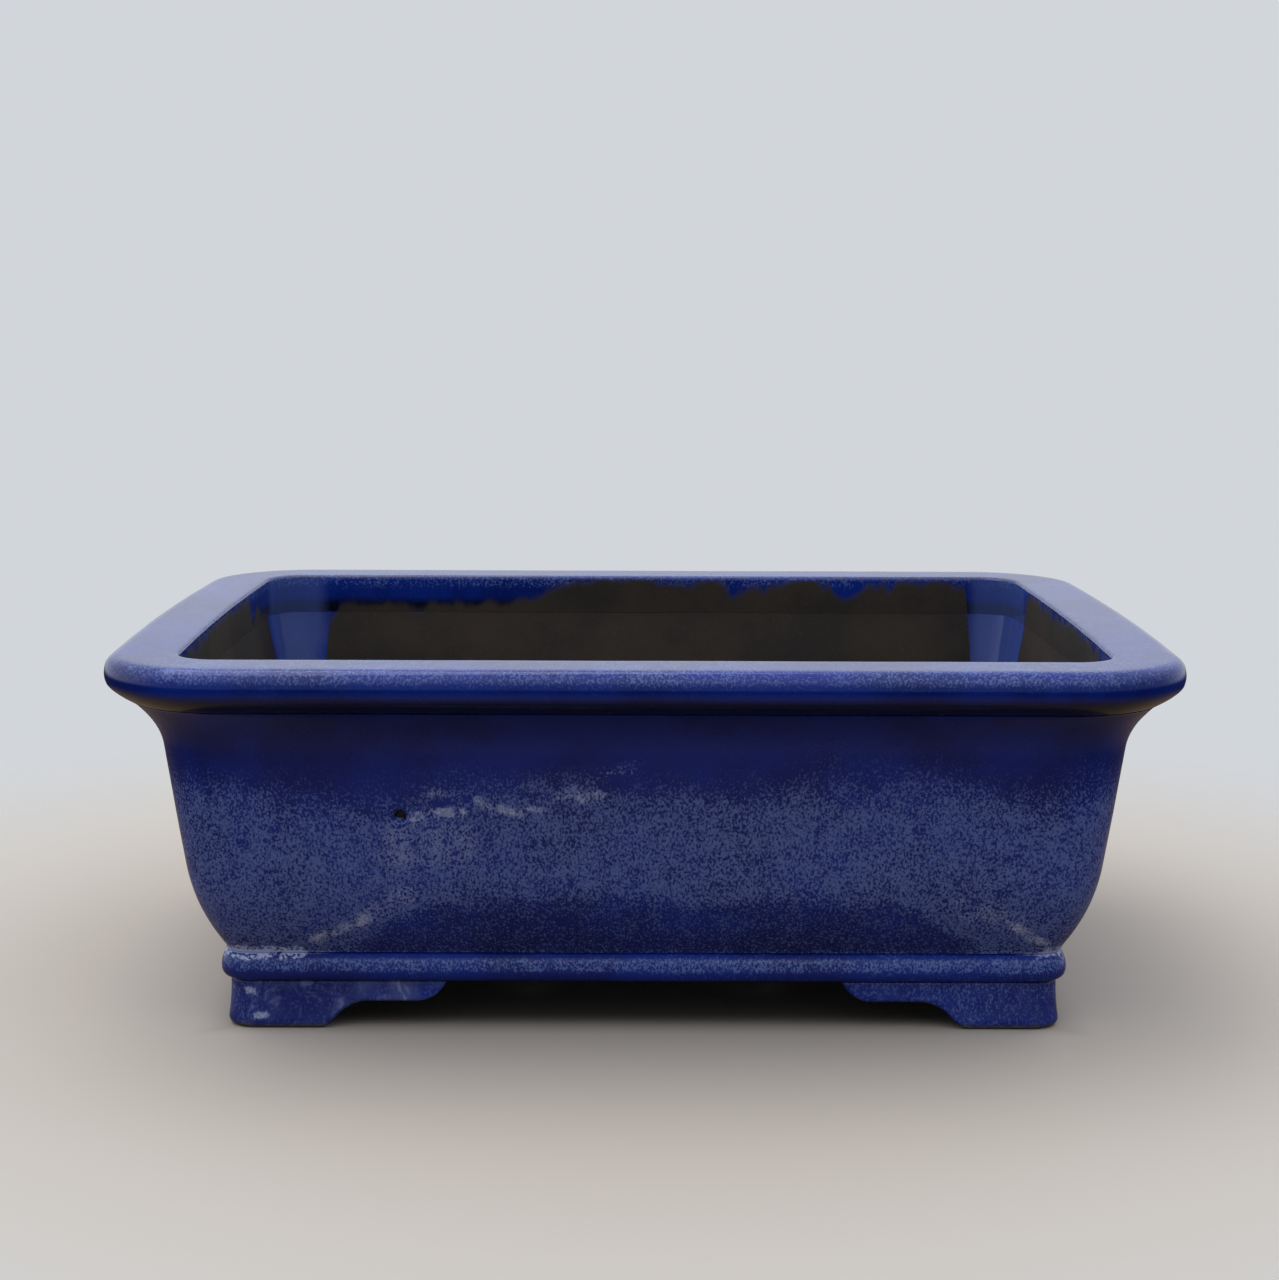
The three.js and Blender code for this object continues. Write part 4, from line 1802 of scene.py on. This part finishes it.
@dataclass
class Studio:
    """A pale floor that fades into a pale backdrop, an overcast sky and the camera."""

    floor_colour: Colour = linear(214, 203, 188)
    floor_bounce: Colour = linear(128, 104, 78)
    # Painted shadow: the dark brown laid on the floor under the pot.
    painted_pot_shadow: Colour = linear(30, 24, 18)
    backdrop: Colour = linear(210, 214, 219)
    sky: Colour = linear(236, 240, 250)
    horizon: Colour = linear(128, 134, 142)
    ground: Colour = linear(44, 36, 30)
    sky_strength: float = 1.0
    floor_radius: float = 0.5
    focal_length: float = 66.59
    camera_place: Point3 = (-4.76 * MM, -738.5 * MM, 211.9 * MM)
    tilt_down: float = 0.1499
    turn: float = -0.0046
    roll: float = 0.004
    sensor_width: float = 36.0
    lamp_size: Point2 = (1.6, 1.0)
    lamp_power: float = 7.0
    lamp_colour: Point3 = (1.0, 0.98, 0.95)
    lamp_place: Point3 = (-0.5, 0.2, 1.6)
    lamp_aim: Point3 = (0.0, 0.0, 0.05)

    def build(self) -> None:
        """Sets up the floor, the light and the camera."""
        self._floor()
        self._world()
        self._lamp()
        self._camera()

    def _floor(self) -> None:
        """A round pale floor whose edge fades out, with a painted shadow under the pot."""
        bpy.ops.mesh.primitive_circle_add(
            vertices=128,
            radius=self.floor_radius,
            fill_type="NGON",
            location=(0, 0, -0.05 * MM),
        )
        floor = bpy.context.view_layer.objects.active
        floor.name = "studio_floor"
        material = bpy.data.materials.new("studio_floor")
        material.use_nodes = True
        material.node_tree.nodes.clear()
        bench = Bench(material.node_tree)
        place = bench.object_place()
        far = bench.node("ShaderNodeVectorMath", {"operation": "LENGTH"}, Vector=place).outputs["Value"]
        fade = bench.step(far, 0.9 * self.floor_radius, 0.3 * self.floor_radius)
        grain = bench.noise(place, 3 * MM, 3.0, 0.6)
        bump = bench.node("ShaderNodeBump", Strength=0.15, Distance=0.2 * MM, Height=grain)
        seen = bench.node("ShaderNodeLightPath").outputs["Is Camera Ray"]
        colour = bench.blend(seen, self.floor_bounce, self.floor_colour)
        # Painted shadow: the floor under the pot's base is blended most of the way to dark brown,
        # standing in for the contact shadow between the feet.
        axes = bench.axes(place)
        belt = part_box("base_belt")[1]
        reach_x = bench.sum_up("DIVIDE", bench.sum_up("ABSOLUTE", axes[0]), belt.x)
        reach_y = bench.sum_up("DIVIDE", bench.sum_up("ABSOLUTE", axes[1]), belt.y)
        under = bench.step(bench.sum_up("MAXIMUM", reach_x, reach_y), 1.06, 0.8)
        colour = bench.blend(bench.sum_up("MULTIPLY", under, 0.85), colour, self.painted_pot_shadow)
        shader = bench.node(
            "ShaderNodeBsdfPrincipled",
            Base_Color=colour,
            Roughness=0.75,
            Alpha=fade,
            Normal=bump.outputs[0],
        )
        bench.node("ShaderNodeOutputMaterial", Surface=shader.outputs[0])
        floor.data.materials.append(material)

    def _world(self) -> None:
        """An overcast sky overhead for the light, and a plain backdrop behind."""
        world = bpy.data.worlds.new("overcast")
        world.use_nodes = True
        world.node_tree.nodes.clear()
        bench = Bench(world.node_tree)
        axes = bench.axes(bench.node("ShaderNodeTexCoord").outputs["Generated"])
        rise = bench.step(axes[2], 0.1, 0.7)
        behind = bench.step(bench.sum_up("MULTIPLY_ADD", axes[0], -0.35, axes[1]), -0.5, 0.6)
        level = bench.blend(behind, self.horizon, self.backdrop)
        sky = bench.blend(rise, level, self.sky)
        lit = bench.blend(bench.step(axes[2], -0.04, -0.16), sky, self.ground)
        glow = bench.node("ShaderNodeBackground", Color=lit, Strength=self.sky_strength)
        plain = bench.node("ShaderNodeBackground", Color=self.backdrop, Strength=1.0)
        seen = bench.node("ShaderNodeLightPath").outputs["Is Camera Ray"]
        mixed = bench.tree.nodes.new("ShaderNodeMixShader")
        for socket, value in zip(mixed.inputs, (seen, glow.outputs[0], plain.outputs[0])):
            bench.feed(socket, value)
        bench.node("ShaderNodeOutputWorld", Surface=mixed.outputs[0])
        bpy.context.scene.world = world

    def _lamp(self) -> None:
        """One broad soft light, high above and a little behind."""
        light = bpy.data.lights.new("soft_sky", "AREA")
        light.shape = "RECTANGLE"
        light.size, light.size_y = self.lamp_size
        light.energy = self.lamp_power
        light.color = self.lamp_colour
        lamp = bpy.data.objects.new("soft_sky", light)
        lamp.location = self.lamp_place
        aim = Vector(self.lamp_aim) - lamp.location
        lamp.rotation_euler = aim.to_track_quat("-Z", "Y").to_euler()
        bpy.context.scene.collection.objects.link(lamp)

    def _camera(self) -> None:
        """The camera, a little above the rim and square to the front."""
        data = bpy.data.cameras.new("camera")
        data.lens = self.focal_length
        data.sensor_width = self.sensor_width
        camera = bpy.data.objects.new("camera", data)
        turn = Euler((math.pi / 2 - self.tilt_down, 0.0, self.turn)).to_matrix().to_4x4()
        roll = Matrix.Rotation(self.roll, 4, "Z")
        camera.matrix_world = Matrix.Translation(self.camera_place) @ turn @ roll
        bpy.context.scene.collection.objects.link(camera)
        bpy.context.scene.camera = camera


def main() -> None:
    """Builds the pot piece by piece, dresses it and lights it."""
    logging.basicConfig(level=logging.INFO, format="%(name)s: %(message)s")
    bpy.context.scene.view_settings.view_transform = "Standard"
    plan = PotPlan()
    kiln = Kiln(plan=plan)
    Studio().build()
    for part in (Walls(plan), Rim(plan), Belt(plan), Feet(plan), Floor(plan)):
        part.dress(part.build(), kiln)


if __name__ == "__main__":
    main()
